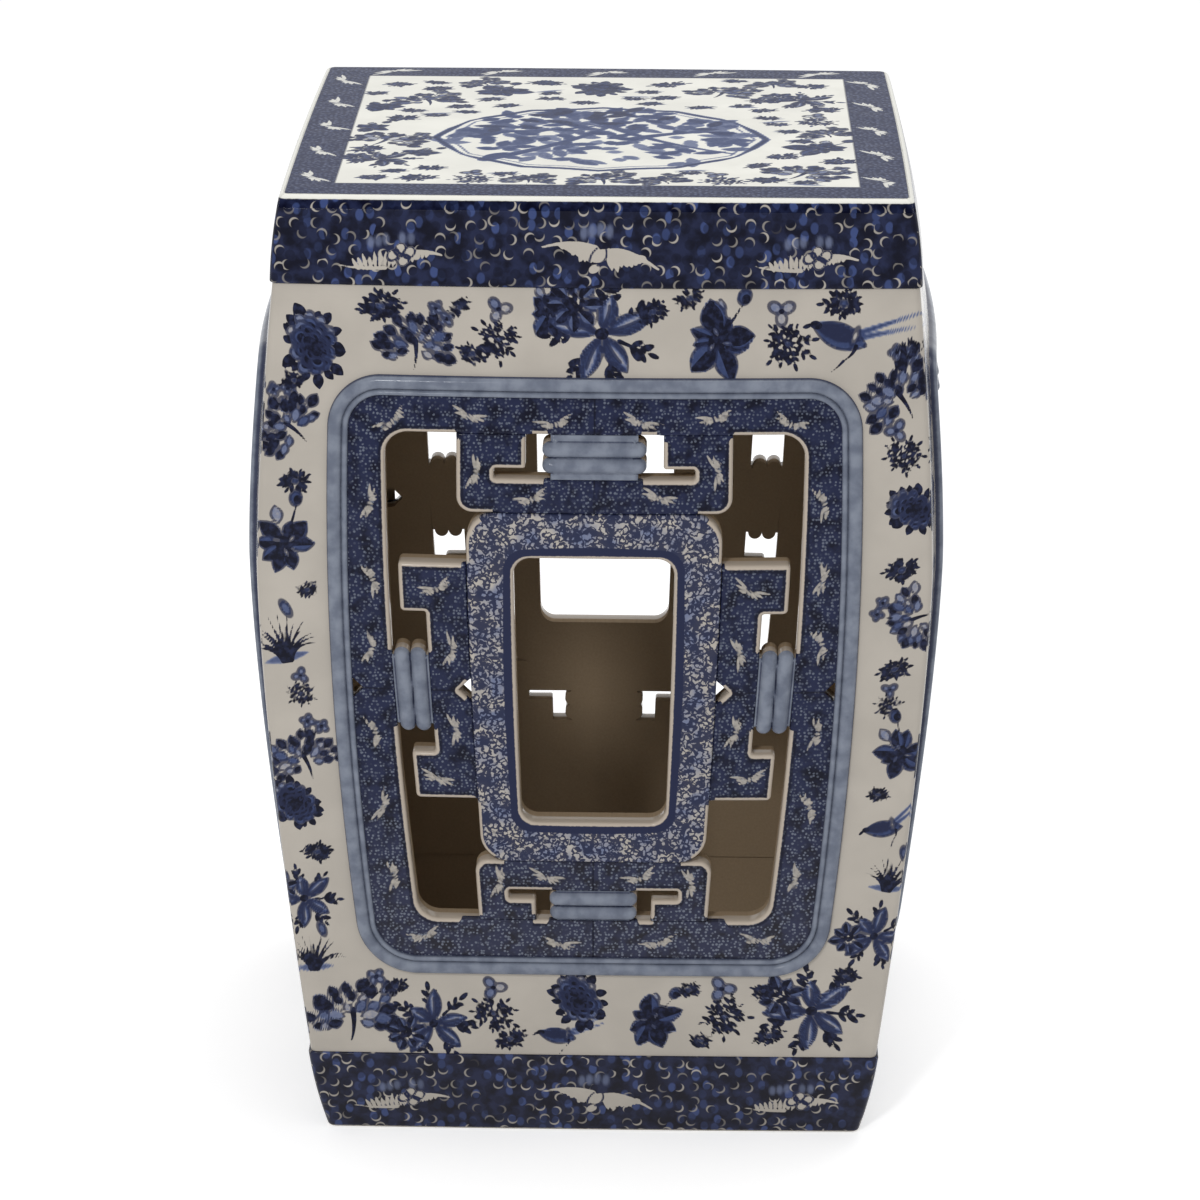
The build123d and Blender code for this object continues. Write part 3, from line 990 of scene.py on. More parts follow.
def even_loop(low_corner, side, high_corner, counts=loop_counts):
    """Closed loop from three stretches of its right half, each a function of a share from 0 to 1."""
    end, corner, upright = [np.arange(count) / count for count in counts]

    def mirrored(stretch, share):
        x, z = stretch(1 - share)
        return -x, z

    foot_x, foot_z = low_corner(np.float64(0))
    head_x, head_z = high_corner(np.float64(1))
    stretches = [
        (foot_x * (2 * end - 1), foot_z + 0 * end),
        low_corner(corner),
        side(upright),
        high_corner(corner),
        (head_x * (1 - 2 * end), head_z + 0 * end),
        mirrored(high_corner, corner),
        mirrored(side, upright),
        mirrored(low_corner, corner),
    ]
    return np.stack([np.concatenate(part) for part in zip(*stretches)], axis=-1)


def bowed_loop(half, bottom, top, radius, share, counts=loop_counts):
    """Closed outline: a parabola up each side, level ends, and quarter circles that touch both."""
    known = np.array([bottom, (bottom + top) / 2, top])
    bow = np.polyfit(known, half * share(known), 2)
    radius = np.broadcast_to(radius, 2)
    heights = np.array([bottom + radius[0], top - radius[1]])
    slope = np.polyval(np.polyder(bow), heights)
    middle = np.polyval(bow, heights) - radius * np.hypot(1, slope)
    lean = -np.arctan(slope)
    side_low, side_high = heights + radius * np.sin(lean)

    def arc(end, angle):
        return middle[end] + radius[end] * np.cos(angle), heights[end] + radius[end] * np.sin(angle)

    def low_corner(share):
        return arc(0, lean[0] * share - np.pi / 2 * (1 - share))

    def high_corner(share):
        return arc(1, np.pi / 2 * share + lean[1] * (1 - share))

    def side(share):
        z = side_low + (side_high - side_low) * share
        return np.polyval(bow, z), z

    return even_loop(low_corner, side, high_corner, counts)


def panel_loop(inset):
    """Outer outline of the moulding, moved inwards by inset."""
    bottom = panel_middle - panel_height / 2 + inset
    top = panel_middle + panel_height / 2 - panel_head_drop - inset
    return bowed_loop(panel_width / 2 - inset, bottom, top, panel_corner_radii - inset, panel_share)


print(f"panel {panel_width:.0f} mm wide and {panel_height:.0f} mm tall")

# %% Edge of the wall
corner_reach = 35.0
corner_climb = 58.0


def wall_edge(rise, radius):
    """Edge of the board: level ends, and sides that follow the unrolled way to the mitre."""

    def reach(z):
        return corner_facts(barrel_half(z) + rise, face_bulge(z), radius)[2]

    def low_corner(share):
        z = base_band_height + np.clip(2 * share - 1, 0, 1) * corner_climb
        return reach(z) - np.clip(1 - 2 * share, 0, 1) * corner_reach, z

    def high_corner(share):
        z = shoulder_height - np.clip(1 - 2 * share, 0, 1) * corner_climb
        return reach(z) - np.clip(2 * share - 1, 0, 1) * corner_reach, z

    def side(share):
        z = base_band_height + corner_climb
        z = z + share * (shoulder_height - base_band_height - 2 * corner_climb)
        return reach(z), z

    return even_loop(low_corner, side, high_corner)


print(f"wall edge of {len(wall_edge(0, corner_radius))} points")

# %% Build the walls
corner_share = 0.06
corner_row_count = 5
face_row_count = 42
back_row_count = 4
corner_rows = np.linspace(0, corner_share, corner_row_count)
face_rows = np.linspace(corner_share, 1, face_row_count)[1:]
wall_rows = np.concatenate([corner_rows, face_rows])[None, :, None]
back_rows = np.linspace(1, 0, back_row_count)[None, :, None]
window = panel_loop(moulding_width / 2)[:, None]
wall_front = wall_edge(0, corner_radius)[:, None] * (1 - wall_rows) + window * wall_rows
wall_back = wall_edge(-wall_thickness, inner_corner_radius)[:, None] * (1 - back_rows) + window * back_rows
front_points = side_surface(wall_front)
back_points = side_surface(wall_back, -wall_thickness, inner_corner_radius)
wall_points = np.concatenate([front_points, back_points], axis=1)
wall_flat = np.concatenate([wall_front, wall_back], axis=1)
wall_inside = np.zeros(wall_flat.shape[:2])
wall_inside[:, wall_rows.size:] = 1
print("wall grid of {} by {} points".format(*wall_inside.shape))

# %% [markdown]
# ### Sprays on the walls
# Each spray has a kind, a place on the unrolled wall, a size and a lean. They could be scattered by chance,
# but a painter keeps them clear of each other and of the window, so they are listed one by one.

# %% Sprays on the walls
wall_sprays = [
    (peony, -129, 401, 42, 0.3), (star_sprig, -98, 420, 26, 0.1), (leaf_spray, -82, 405, 36, 0.0),
    (star_sprig, -62, 420, 14, 0.6), (star_sprig, -56, 399, 17, 0.0), (blossom, -44, 409, 31, 0.0),
    (broad_leaves, -20, 419, 27, 0.8), (long_petals, 3, 409, 54, 0.0), (star_sprig, 43, 425, 17, 0.3),
    (star_sprig, 26, 419, 20, 0.2), (broad_leaves, 56, 406, 39, 0.2), (blossom, 87, 408, 34, 0.2),
    (star_sprig, 113, 423, 25, 0.1), (long_tailed_bird, 116, 407, 47, 0.0),
    (leaf_spray, 138, 382, 38, 0.6), (star_sprig, 143, 402, 16, 0.0), (blossom, 141, 355, 28, 0.3),
    (peony, 147, 327, 32, 1.2), (star_sprig, 142, 298, 22, 0.2), (leaf_spray, 146, 273, 32, 1.9),
    (star_sprig, 140, 249, 19, 0.4), (blossom, 138, 232, 20, 0.0), (broad_leaves, 144, 206, 33, 0.9),
    (star_sprig, 134, 185, 14, 0.0), (long_tailed_bird, 140, 168, 32, 0.5), (grass_tuft, 141, 143, 30, -0.2),
    (long_petals, 134, 110, 36, 0.9), (star_sprig, 121, 88, 18, 0.0),
    (leaf_spray, -142, 365, 34, 0.9), (star_sprig, -138, 385, 15, 0.0), (star_sprig, -138, 338, 20, 0.2),
    (broad_leaves, -143, 308, 38, 0.5), (star_sprig, -133, 286, 14, 0.4), (grass_tuft, -145, 261, 37, 0.2),
    (blossom, -137, 236, 21, 0.0), (leaf_spray, -137, 203, 36, 0.4), (peony, -141, 177, 33, 0.8),
    (star_sprig, -131, 152, 19, 0.1), (long_petals, -138, 127, 36, 0.4), (grass_tuft, -134, 98, 32, 0.0),
    (leaf_spray, -116, 67, 45, 0.0), (star_sprig, -95, 80, 17, 0.2), (long_petals, -77, 60, 42, 1.2),
    (blossom, -48, 69, 33, 0.0), (star_sprig, -40, 52, 19, 0.5), (peony, -7, 74, 38, 0.5),
    (long_tailed_bird, -14, 54, 32, 0.2), (broad_leaves, 28, 63, 32, 0.1), (star_sprig, 46, 80, 16, 0.2),
    (blossom, 63, 69, 35, 0.1), (star_sprig, 52, 52, 15, 0.0), (long_petals, 105, 69, 50, 0.3),
    (star_sprig, 85, 55, 19, 0.3), (star_sprig, 82, 80, 15, 0.2),
]
spray_drift = 2.5
wall_seed = 20


def paint_walls(turn):
    """Brushwork of one wall: the same sprays, mirrored on every second side and a little moved."""
    work = Brushwork(wall_flat)
    chance = np.random.default_rng(wall_seed + turn)
    flip = -1 if turn % 2 else 1
    for motif, x, z, size, lean in wall_sprays:
        shift = chance.uniform(-1, 1, 2) * spray_drift * min(turn, 1)
        motif(Motif(work, (flip * x + shift[0], z + shift[1]), size, lean, flip), chance)
    return work


def wall_marks(turn):
    """Marks of one wall."""
    return {
        "place": place_marks(wall_flat, turn),
        "inside": wall_inside,
        **paint_walls(turn).marks("ink", "line", "wash"),
    }


wall_faces = grid_faces(*wall_flat.shape[:2], wrap_rows=True, wrap_columns=True)
place_sides("wall", wall_points, [wall_faces], wall_marks, "spray_body_glaze")

# %% [markdown]
# ## The bands
# A strip runs round the stool under the seat and another round the foot. Each is a section carried
# along the side from mitre to mitre: down the outer face, round the edges and up the inside. The grid
# is open at the mitres, so each end is closed with one many-sided face.

# %% Build the bands
seat_width = 288.0
foot_width = 259.0
band_step = 1.2
band_swell = 0.9
band_edge_radius = 1.0
foot_edge_radius = 1.6
joint_radius = 0.25
band_face_rows = 46
band_columns = 330
mitre_share = 0.982
mitre_columns = 6
slab_seat_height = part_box("front_upper_band")[1].z / MM
bend = np.linspace(0, np.pi / 2, 5)


def upper_half(z):
    """Half width of the upper band: straight from edge to edge, with a slight swell between."""
    share = (z - shoulder_height) / (stool_height - shoulder_height)
    low, high = shoulder_width / 2 + band_step, seat_width / 2
    return low + (high - low) * share + 4 * band_swell * share * (1 - share)


def base_half(z):
    """Half width of the base band: straight from foot to wall, with a slight swell between."""
    share = z / base_band_height
    low, high = foot_width / 2, ankle_width / 2 + band_step
    return low + (high - low) * share + 4 * band_swell * share * (1 - share)


def band_grid(low, high, half_at, low_radius, high_radius):
    """Points of a band, its unrolled places, and which of them are inside."""
    face = np.linspace(high - high_radius, low + low_radius, band_face_rows)[1:-1]
    inner = np.linspace(low, high, 3)
    over, under = bend[::-1], bend
    z = [high - high_radius * (1 - np.sin(over)), face, low + low_radius * (1 - np.sin(under)), inner]
    inset = [high_radius * (1 - np.cos(over)), 0 * face, low_radius * (1 - np.cos(under))]
    inset.append(np.full(inner.size, wall_thickness))
    inside = np.repeat([0.0, 1.0], [2 * bend.size + face.size, inner.size])
    z, inset = np.concatenate(z), np.concatenate(inset)
    radius = np.where(inside > 0, inner_corner_radius, corner_radius)
    half = half_at(z) - inset
    reach = corner_facts(half, face_bulge(z), radius)[2]
    ends = np.linspace(mitre_share, 1, mitre_columns)
    between = np.linspace(-mitre_share, mitre_share, band_columns)[1:-1]
    across = np.concatenate([-ends[::-1], between, ends])[:, None]
    x, depth = wrap_section(across * reach, half, face_bulge(z), radius)
    points = np.stack(np.broadcast_arrays(x, -depth, z), axis=-1)
    flat = np.stack(np.broadcast_arrays(across * reach, z), axis=-1)
    return points, flat, np.broadcast_to(inside, flat.shape[:2])


print("band shapes ready")

# %% Place the bands
base_pattern_lift = 90.0
band_seed = 40
band_wings = [
    (feather_wings, -92, -4.0, 50, 0.1),
    (swallow_wings, 2, -3.0, 53, 0.0),
    (feather_wings, 97, -4.0, 50, 0.05),
]


def build_band(name, grid, pattern_lift):
    """One band on each side, from its grid. The band whose pattern is lifted has a bare line at its foot."""
    points, flat, inside = grid
    columns, rows = inside.shape
    count = columns * rows
    middle = (flat[..., 1].min() + flat[..., 1].max()) / 2
    faces = grid_faces(columns, rows, wrap_columns=True)
    ends = np.stack([np.arange(rows)[::-1], np.arange(count - rows, count)])

    def marks(turn):
        work = Brushwork(flat)
        chance = np.random.default_rng(band_seed + turn)
        for motif, x, lift, size, lean in band_wings:
            motif(Motif(work, (x, lift + middle), size, lean), chance)
        return {
            "place": place_marks(flat, turn, pattern_lift),
            "inside": inside,
            "edge": flat[..., 1] if pattern_lift else np.full(count, far),
            **work.marks("reserve", "line", "wash"),
        }

    place_sides(name, points, [faces, ends], marks, "curl_band_glaze")


upper_grid = band_grid(shoulder_height, slab_seat_height, upper_half, band_edge_radius, joint_radius)
base_grid = band_grid(0.0, base_band_height, base_half, foot_edge_radius, band_edge_radius)
build_band("upper_band", upper_grid, 0.0)
build_band("base_band", base_grid, base_pattern_lift)

# %% [markdown]
# ## The seat
# The seat is a slab with a rounded rim and a shallow plug below. Its flat top is a patch stretched
# between four edges: each point is the sum of the two blends between opposite edges, less the blend of
# the four corners. The rim is carried down from that patch's own boundary.

# %% Build the seat
seat_steps = 262
slab_edge_radius = 2.5
slab_plug_depth = 9.0
slab_plug_clearance = 0.4
plug_rings = (0.6, 0.25)


def pillow_loop(half, z, radius):
    """Level section round all four sides, from the front's left mitre, the same number of points on each."""
    bulge = face_bulge(np.float64(z))
    reach = corner_facts(half, bulge, radius)[2]
    x, depth = wrap_section(reach * np.linspace(-1, 1, seat_steps + 1)[:-1], half, bulge, radius)
    side = np.stack(np.broadcast_arrays(x, -depth, np.float64(z)), axis=-1)
    return np.concatenate([turned(side, turn) for turn in range(4)])


def stretched_patch(loop):
    """Square patch inside a loop of four sides, between whose edges each point is blended."""
    front, right, back, left = np.split(loop, 4)
    front = np.concatenate([front, right[:1]])
    right = np.concatenate([right, back[:1]])
    back = np.concatenate([back, left[:1]])[::-1]
    left = np.concatenate([left, loop[:1]])[::-1]
    s = np.linspace(0, 1, seat_steps + 1)[None, :, None]
    t = np.linspace(0, 1, seat_steps + 1)[:, None, None]
    corners = (1 - t) * ((1 - s) * front[0] + s * front[-1]) + t * ((1 - s) * back[0] + s * back[-1])
    return (1 - t) * front + t * back + (1 - s) * left[:, None] + s * right[:, None] - corners


rim_z = np.concatenate([
    stool_height - slab_edge_radius * (1 - np.sin(bend[::-1])),
    np.linspace(stool_height - slab_edge_radius, slab_seat_height, 4)[1:],
])
rim_inset = slab_edge_radius * (1 - np.cos(bend[::-1]))
rim_inset = np.pad(rim_inset, (0, rim_z.size - bend.size))
rim_way = slab_edge_radius * (bend[::-1] - np.pi / 4)
rim_way = np.append(rim_way, rim_way[-1] + rim_z[bend.size:] - rim_z[bend.size - 1])
rim = [pillow_loop(upper_half(z) - inset, z, corner_radius) for z, inset in zip(rim_z, rim_inset)]
plug_half = upper_half(slab_seat_height) - wall_thickness - slab_plug_clearance
plug_bottom = slab_seat_height - slab_plug_depth
plug = [pillow_loop(plug_half, z, inner_corner_radius) for z in (slab_seat_height, plug_bottom)]
plug += [plug[1] * [share, share, 1] for share in plug_rings]
patch = stretched_patch(rim[0])
below = np.concatenate(rim[1:] + plug)
seat_points = np.concatenate([patch.reshape(-1, 3), below, [[0, 0, plug_bottom]]])

patch_numbers = np.arange(patch.size // 3).reshape(seat_steps + 1, seat_steps + 1)
boundary = np.concatenate([
    patch_numbers[0, :-1], patch_numbers[:-1, -1], patch_numbers[-1, :0:-1], patch_numbers[:0:-1, 0],
])
loop_length = 4 * seat_steps
below_numbers = patch_numbers.size + np.arange(len(below)).reshape(-1, loop_length)
numbers = np.concatenate([boundary[None], below_numbers])
seat_faces = grid_faces(seat_steps + 1, seat_steps + 1)
side_faces = numbers.ravel()[grid_faces(len(numbers), loop_length, wrap_columns=True)][:, ::-1]
last = numbers[-1]
fan = np.stack([np.roll(last, -1), last, np.full(loop_length, len(seat_points) - 1)], axis=-1)
print(f"seat: {len(seat_points)} points")

# %% [markdown]
# ### Brushwork on the seat
# A garden in a pointed oval fills the middle, with sprays round it. A painter fills the gaps last: here small
# sprigs are tried at chance places, and kept where nothing else is near.

# %% Paint the seat
border_edge = 120.5
medallion_place = (0, -22)
medallion_length = 158.0
medallion_width = 138.0
medallion_lobe = 0.018
field_sprays = [
    (leaf_spray, -88, 64, 38, 0.2), (broad_leaves, -52, 84, 34, 0.4), (peony, -2, 92, 40, 0.0),
    (leaf_spray, 59, 86, 36, -0.3), (long_petals, 98, 68, 40, 0.2), (blossom, 104, 21, 32, 0.0),
    (leaf_spray, -102, -27, 40, -0.4), (long_petals, -102, -70, 36, 0.5), (blossom, -58, -107, 30, 0.0),
    (leaf_spray, 2, -108, 34, 0.1), (blossom, 57, -107, 30, 0.3), (broad_leaves, 104, -40, 36, 0.0),
    (leaf_spray, 96, -92, 40, -0.5), (star_sprig, -104, 100, 20, 0.1), (star_sprig, -98, 20, 24, 0.3),
    (star_sprig, -26, 68, 18, 0.1), (star_sprig, 30, 72, 20, 0.4), (star_sprig, 78, 44, 18, 0.2),
    (star_sprig, -70, 48, 20, 0.2), (star_sprig, -78, -88, 20, 0.0), (star_sprig, 74, -78, 18, 0.5),
    (star_sprig, 104, 102, 22, 0.0), (star_sprig, -104, -108, 20, 0.3), (star_sprig, -28, -104, 16, 0.2),
    (leaf_spray, -62, 104, 26, 0.5), (star_sprig, -30, 106, 24, 0.0), (star_sprig, 32, 104, 24, 0.3),
    (leaf_spray, 84, 106, 26, 0.1), (broad_leaves, -110, 46, 24, 0.6), (star_sprig, -84, 90, 22, 0.2),
    (star_sprig, 78, 66, 22, 0.1), (broad_leaves, -112, -2, 24, 0.2), (star_sprig, 108, 46, 24, 0.4),
    (leaf_spray, 108, -8, 28, 0.3), (star_sprig, 112, -68, 24, 0.1), (star_sprig, -110, -48, 24, 0.5),
    (star_sprig, -84, -108, 24, 0.2), (leaf_spray, -32, -110, 26, 0.0), (leaf_spray, 30, -110, 26, 0.4),
    (star_sprig, 78, -108, 24, 0.0), (broad_leaves, -84, -56, 22, 0.0), (star_sprig, 86, -58, 22, 0.3),
]
border_butterflies = (-108, -54, 0, 54, 108)
border_butterfly_size = 22
border_butterfly_lean = 0.5
border_middle = border_edge + 11
seat_seed = 80
medallion_leaves = 520
branches = [
    ((-0.34, -0.3), (0.0, 0.0), (0.1, 0.38)),
    ((-0.05, 0.36), (0.05, 0.0), (0.4, -0.2)),
    ((-0.42, 0.1), (-0.2, 0.05), (0.02, 0.2)),
    ((0.1, 0.0), (0.25, 0.12), (0.4, 0.1)),
]
gap_tries = 900
gap_sprig = 17.0
gap_margin = 5.0
gap_room = 0.35
medallion_room = 0.58


def paint_medallion(work, chance):
    """Blue garden in a pointed oval: a double outline, crossing branches, and soft leaves among them."""
    m = Motif(work, medallion_place, medallion_length)
    width = medallion_width / medallion_length
    rim = np.maximum(m.oval((0, 0), 0, 1, width), m.leaf((-0.54, 0), 0, 1.08, 1.25 * width))
    rim = rim + medallion_lobe * np.abs(np.sin(6 * np.arctan2(m.y, m.x)))
    m.tint(np.abs(rim) - 0.01, 0.85)
    m.tint(np.abs(rim + 0.03) - 0.003, 0.6)
    for start, bend_at, stop in branches:
        m.tint(m.stroke(start, bend_at, stop, 0.045), 0.72)
    for _ in range(medallion_leaves):
        at = chance.uniform(-0.46, 0.46, 2) * (1, width)
        inside = (at[0] / 0.45) ** 2 + (at[1] / 0.4) ** 2 < 1
        leafy = chance.uniform() < 0.6 + 0.9 * at[1]
        if inside and leafy:
            leaf = m.leaf(at, chance.uniform(0, math.tau), chance.uniform(0.05, 0.12), 0.045)
            m.tint(leaf, chance.uniform(0.4, 0.8) + 0.5 * max(0, at[1]))


def fill_gaps(work, chance):
    """Small sprigs and pale strokes wherever the white field still has room for them."""
    middle_x, middle_y = medallion_place
    for x, y in chance.uniform(-1, 1, (gap_tries, 2)) * (border_edge - gap_margin):
        way = math.hypot((x - middle_x) / medallion_length, (y - middle_y) / medallion_width)
        here = np.hypot(work.x - x, work.y - y) < gap_room * gap_sprig
        if way > medallion_room and work.ink[here].min() > 1.0 and work.wash[here].max() < 0.1:
            m = Motif(work, (x, y), gap_sprig, chance.uniform(-0.3, 0.3))
            star_sprig(m, chance)
            m.tint(m.leaf((-0.5, chance.uniform(-0.2, 0.2)), chance.uniform(-0.4, 0.4), 1.0, 0.16), 0.45)


def paint_seat():
    """Brushwork of the seat: the medallion, sprays round it, and small butterflies along the border."""
    work = Brushwork(seat_points[:, :2])
    chance = np.random.default_rng(seat_seed)
    paint_medallion(work, chance)
    for motif, x, y, size, lean in field_sprays:
        motif(Motif(work, (x, y), size, lean), chance)
    fill_gaps(work, chance)
    for way in border_butterflies:
        for turn in (1, 2, 3):
            x, y, _ = turned(np.array([[way, -border_middle, 0.0]]), turn)[0]
            lean = turn * math.pi / 2 + border_butterfly_lean
            butterfly(Motif(work, (x, y), border_butterfly_size, lean), chance)
    return work


print(f"{len(field_sprays)} sprays for the seat")

# %% Place the seat
def seat_marks():
    """Marks of the seat: distances from the border's inner edge and from the middle of the rounded rim."""
    x, y, z = seat_points.T
    half, bulge = upper_half(stool_height), face_bulge(np.float64(stool_height))
    across = half + bulge * (1 - (y / half) ** 2) - np.abs(x)
    along = half + bulge * (1 - (x / half) ** 2) - np.abs(y)
    edge = np.minimum(across, along) - slab_edge_radius + slab_edge_radius * np.pi / 4
    edge[patch_numbers.size:] = -far
    rim_count = len(rim_way) - 1
    edge[patch_numbers.size:][:rim_count * loop_length] = np.repeat(rim_way[1:], loop_length)
    inside = np.where(z < slab_seat_height - 0.01, 1.0, 0.0)
    place = place_marks(seat_points[:, :2], 0)
    one_side = np.linspace(-1, 1, seat_steps + 1)[:-1] * half
    round_rim = np.tile(one_side, 4) + np.repeat(side_shift * np.arange(4), seat_steps)
    rim_place = np.stack(np.broadcast_arrays(round_rim, rim_z[1:, None], 0.0), axis=-1)
    place[patch_numbers.size:][:rim_count * loop_length] = rim_place.reshape(-1, 3)
    return {
        "place": place,
        "inside": inside,
        "edge": edge,
        "border": np.maximum(np.abs(x), np.abs(y)) - border_edge,
        **paint_seat().marks("ink", "line", "wash", "reserve"),
    }


seat_groups = [seat_faces, side_faces, fan]
place_piece("top_slab", seat_points, seat_groups, seat_marks(), "seat_glaze")
print(f"seat: {sum(len(group) for group in seat_groups)} faces")

# %% [markdown]
# ## The mouldings
# A bead covers the seam between wall and lattice. Its section, a broad round bead beside a small one,
# is carried round the panel's outline: each row of the section is that outline at another inset,
# lifted off the wall by the section's height.

# %% Build the mouldings
bead_width = 6.6
bead_rise = 3.2
small_bead_rise = 2.2
bead_sink = 0.8
groove_height = 1.0
bead_rows = 13
small_bead_rows = 9
inner_groove = 0.4
inner_edge = 0.25
bead_power = 2.6
small_bead_power = 2.4


def hump(d, middle, half, rise, power):
    """Height of a bead: rise times the root of one less a power of the distance from its middle."""
    return rise * np.sqrt(np.maximum(0, 1 - np.abs((d - middle) / half) ** power))


small_half = (moulding_width - bead_width) / 2
bead_way = np.concatenate([
    bead_width / 2 * (1 - np.cos(np.linspace(0, np.pi, bead_rows))),
    bead_width + small_half * (1 - np.cos(np.linspace(0, np.pi, small_bead_rows)))[1:],
])
bead_height = np.maximum(
    hump(bead_way, bead_width / 2, bead_width / 2, bead_rise, bead_power),
    hump(bead_way, (bead_width + moulding_width) / 2, small_half, small_bead_rise, small_bead_power),
)
bead_height[bead_rows - 1] = groove_height
section_inset = np.concatenate([[0], bead_way, [moulding_width]])
section_rise = np.concatenate([[-bead_sink], bead_height, [-bead_sink]])
bead_loops = np.stack([panel_loop(inset) for inset in section_inset], axis=1)
bead_points = side_surface(bead_loops, section_rise)
groove = np.minimum(section_inset, np.abs(section_inset - bead_width) + inner_groove)
groove = np.minimum(groove, moulding_width - section_inset + inner_edge)


def bead_marks(turn):
    """Marks of one moulding."""
    shape = bead_loops.shape[:2]
    return {
        "place": place_marks(bead_loops, turn),
        # Painted light: the sunk rows count as inside, so their brighter biscuit shows bare clay and stands
        # in for light in the shadowed gap under the bead.
        "inside": np.broadcast_to(section_rise < 0, shape),
        "edge": np.full(shape, far),
        "groove": np.broadcast_to(groove, shape),
    }


bead_faces = grid_faces(*bead_loops.shape[:2], wrap_rows=True, wrap_columns=True)
place_sides("moulding", bead_points, [bead_faces], bead_marks, "pale_blue_glaze")

# %% [markdown]
# ## Strips of the lattice: frame and ring
# The frame and the ring are strips between an outer and an inner loop. The section rounds each edge with
# a soft clay radius, goes through the wall, and comes back behind. Where another piece is luted on, the
# radius shrinks to a crease, so each point of a loop has its own edge radius.

# %% Strips between two loops
lattice_taper = 0.12
free_radius = 1.9
seam_radius = 0.7
hidden_radius = 0.2
wall_steps = np.array([0.35, 0.7])


def lattice_share(z):
    """Width of the openwork at height z, which narrows a little faster than the barrel."""
    return barrel_share(z) * (1 + lattice_taper * (z - panel_middle) / panel_height)


def strip_section(across):
    """Rows of a strip's section: share of width, outer and inner bend, outer and inner drop, way through."""
    out, drop = 1 - np.cos(bend), 1 - np.sin(bend)
    share = np.linspace(0, 1, across)[1:-1]
    none, face = np.zeros(bend.size), np.zeros(share.size)
    behind = np.linspace(1, 0, 4)
    rows = [
        (none, out, none, drop, none, none),
        (share, 1 - share, -share, face, face, face),
        (none + 1, none, -out[::-1], none, drop[::-1], none),
        ([1, 1], [0, 0], [0, 0], [0, 0], [1, 1], wall_steps),
        (behind, 0 * behind, 0 * behind, 0 * behind, 0 * behind, 0 * behind + 1),
        ([0, 0], [0, 0], [0, 0], [1, 1], [0, 0], wall_steps[::-1]),
    ]
    return [np.concatenate(part) for part in zip(*rows)]


def build_strip(outer, inner, outer_radius, inner_radius, rise, across):
    """Points of a strip, its places on the side, its distances from both edges, and its way through."""
    share, out, back, outer_drop, inner_drop, through = strip_section(across)
    width = np.hypot(*(inner - outer).T)[:, None]
    radius, end_radius = outer_radius[:, None], inner_radius[:, None]
    offset = share * width + out * radius + back * end_radius
    flat = outer[:, None] + (inner - outer)[:, None] * (offset / width)[..., None]
    drop = outer_drop * radius + inner_drop * end_radius
    front = side_surface(flat, rise - drop)
    rear = side_surface(flat, -wall_thickness, inner_corner_radius)
    points = front + (rear - front) * through[:, None]
    return points, flat, offset, width - offset, np.broadcast_to(through, offset.shape)


def near_zone(value, low, high):
    """1 where a value lies between low and high, falling to 0 over two millimetres."""
    return np.clip(1 + np.minimum(value - low, high - value) / 2, 0, 1)


def within(value, high):
    """1 where a distance is less than high, falling to 0 over two millimetres."""
    return near_zone(value, -1, high)


def edge_radius(seam):
    """Soft free edges, and tight creases at seams."""
    return free_radius + (seam_radius - free_radius) * seam


print("strip helpers ready")

# %% [markdown]
# ### Sizes of the openwork
# The pieces of the openwork touch, so few of their sizes are free. The others are worked out from those, from
# the panel inwards, and the pieces then still meet when a size is changed.

# %% Sizes of the openwork
frame_stile_width = 16.5
frame_rail_height = 20.0
opening_corner_radius = 11.0
frame_notch = 5.0
ring_band = 21.0
ring_corner_radius = 14.0
ring_hole_corner_radius = 8.0
ring_rise = 1.5
top_bracket_height = 37.0
bottom_bracket_height = 32.0
cross_bracket_width = 122.0
cross_bracket_bar = 16.0
cross_bracket_corner_radius = 7.0
slot_width = 7.5
slot_foot_length = 14.0
slot_foot_height = 5.0
side_bracket_height = 119.0
side_bracket_lift = 4.0
side_bracket_stem = 19.0
side_arm_height = 24.0
side_arm_reach = 11.5
side_arm_gap = 5.5
side_notch = 6.0
cross_tie_length = 46.0
side_tie_length = 42.0
side_tie_lift = 0.5
tie_lobe_width = 7.4

opening_half = panel_width / 2 - moulding_width - frame_stile_width
opening_top = panel_middle + panel_height / 2 - moulding_width - frame_rail_height
opening_bottom = panel_middle - panel_height / 2 + moulding_width + frame_rail_height
arm_end = opening_half - side_arm_gap
stem_edge = arm_end - side_arm_reach
ring_half = stem_edge - side_bracket_stem
ring_top = opening_top - top_bracket_height
ring_bottom = opening_bottom + bottom_bracket_height
ring_middle = (ring_top + ring_bottom) / 2
bracket_middle = ring_middle + side_bracket_lift
tie_middle = ring_middle + side_tie_lift
post_edge = cross_tie_length / 2 + slot_width
tie_half = cross_tie_length / 2 - tie_lobe_width / 2
side_tie_half = side_tie_length / 2 - tie_lobe_width / 2
print(f"opening {2 * opening_half:.0f} mm wide, ring {ring_top - ring_bottom:.0f} mm tall")

# %% [markdown]
# ### The lattice frame
# The frame lies inside the moulding and borders the openwork. It could be cut from a slab along two curves.
# As a strip, its edge can be soft where it is free, and a crease where another piece is luted on.

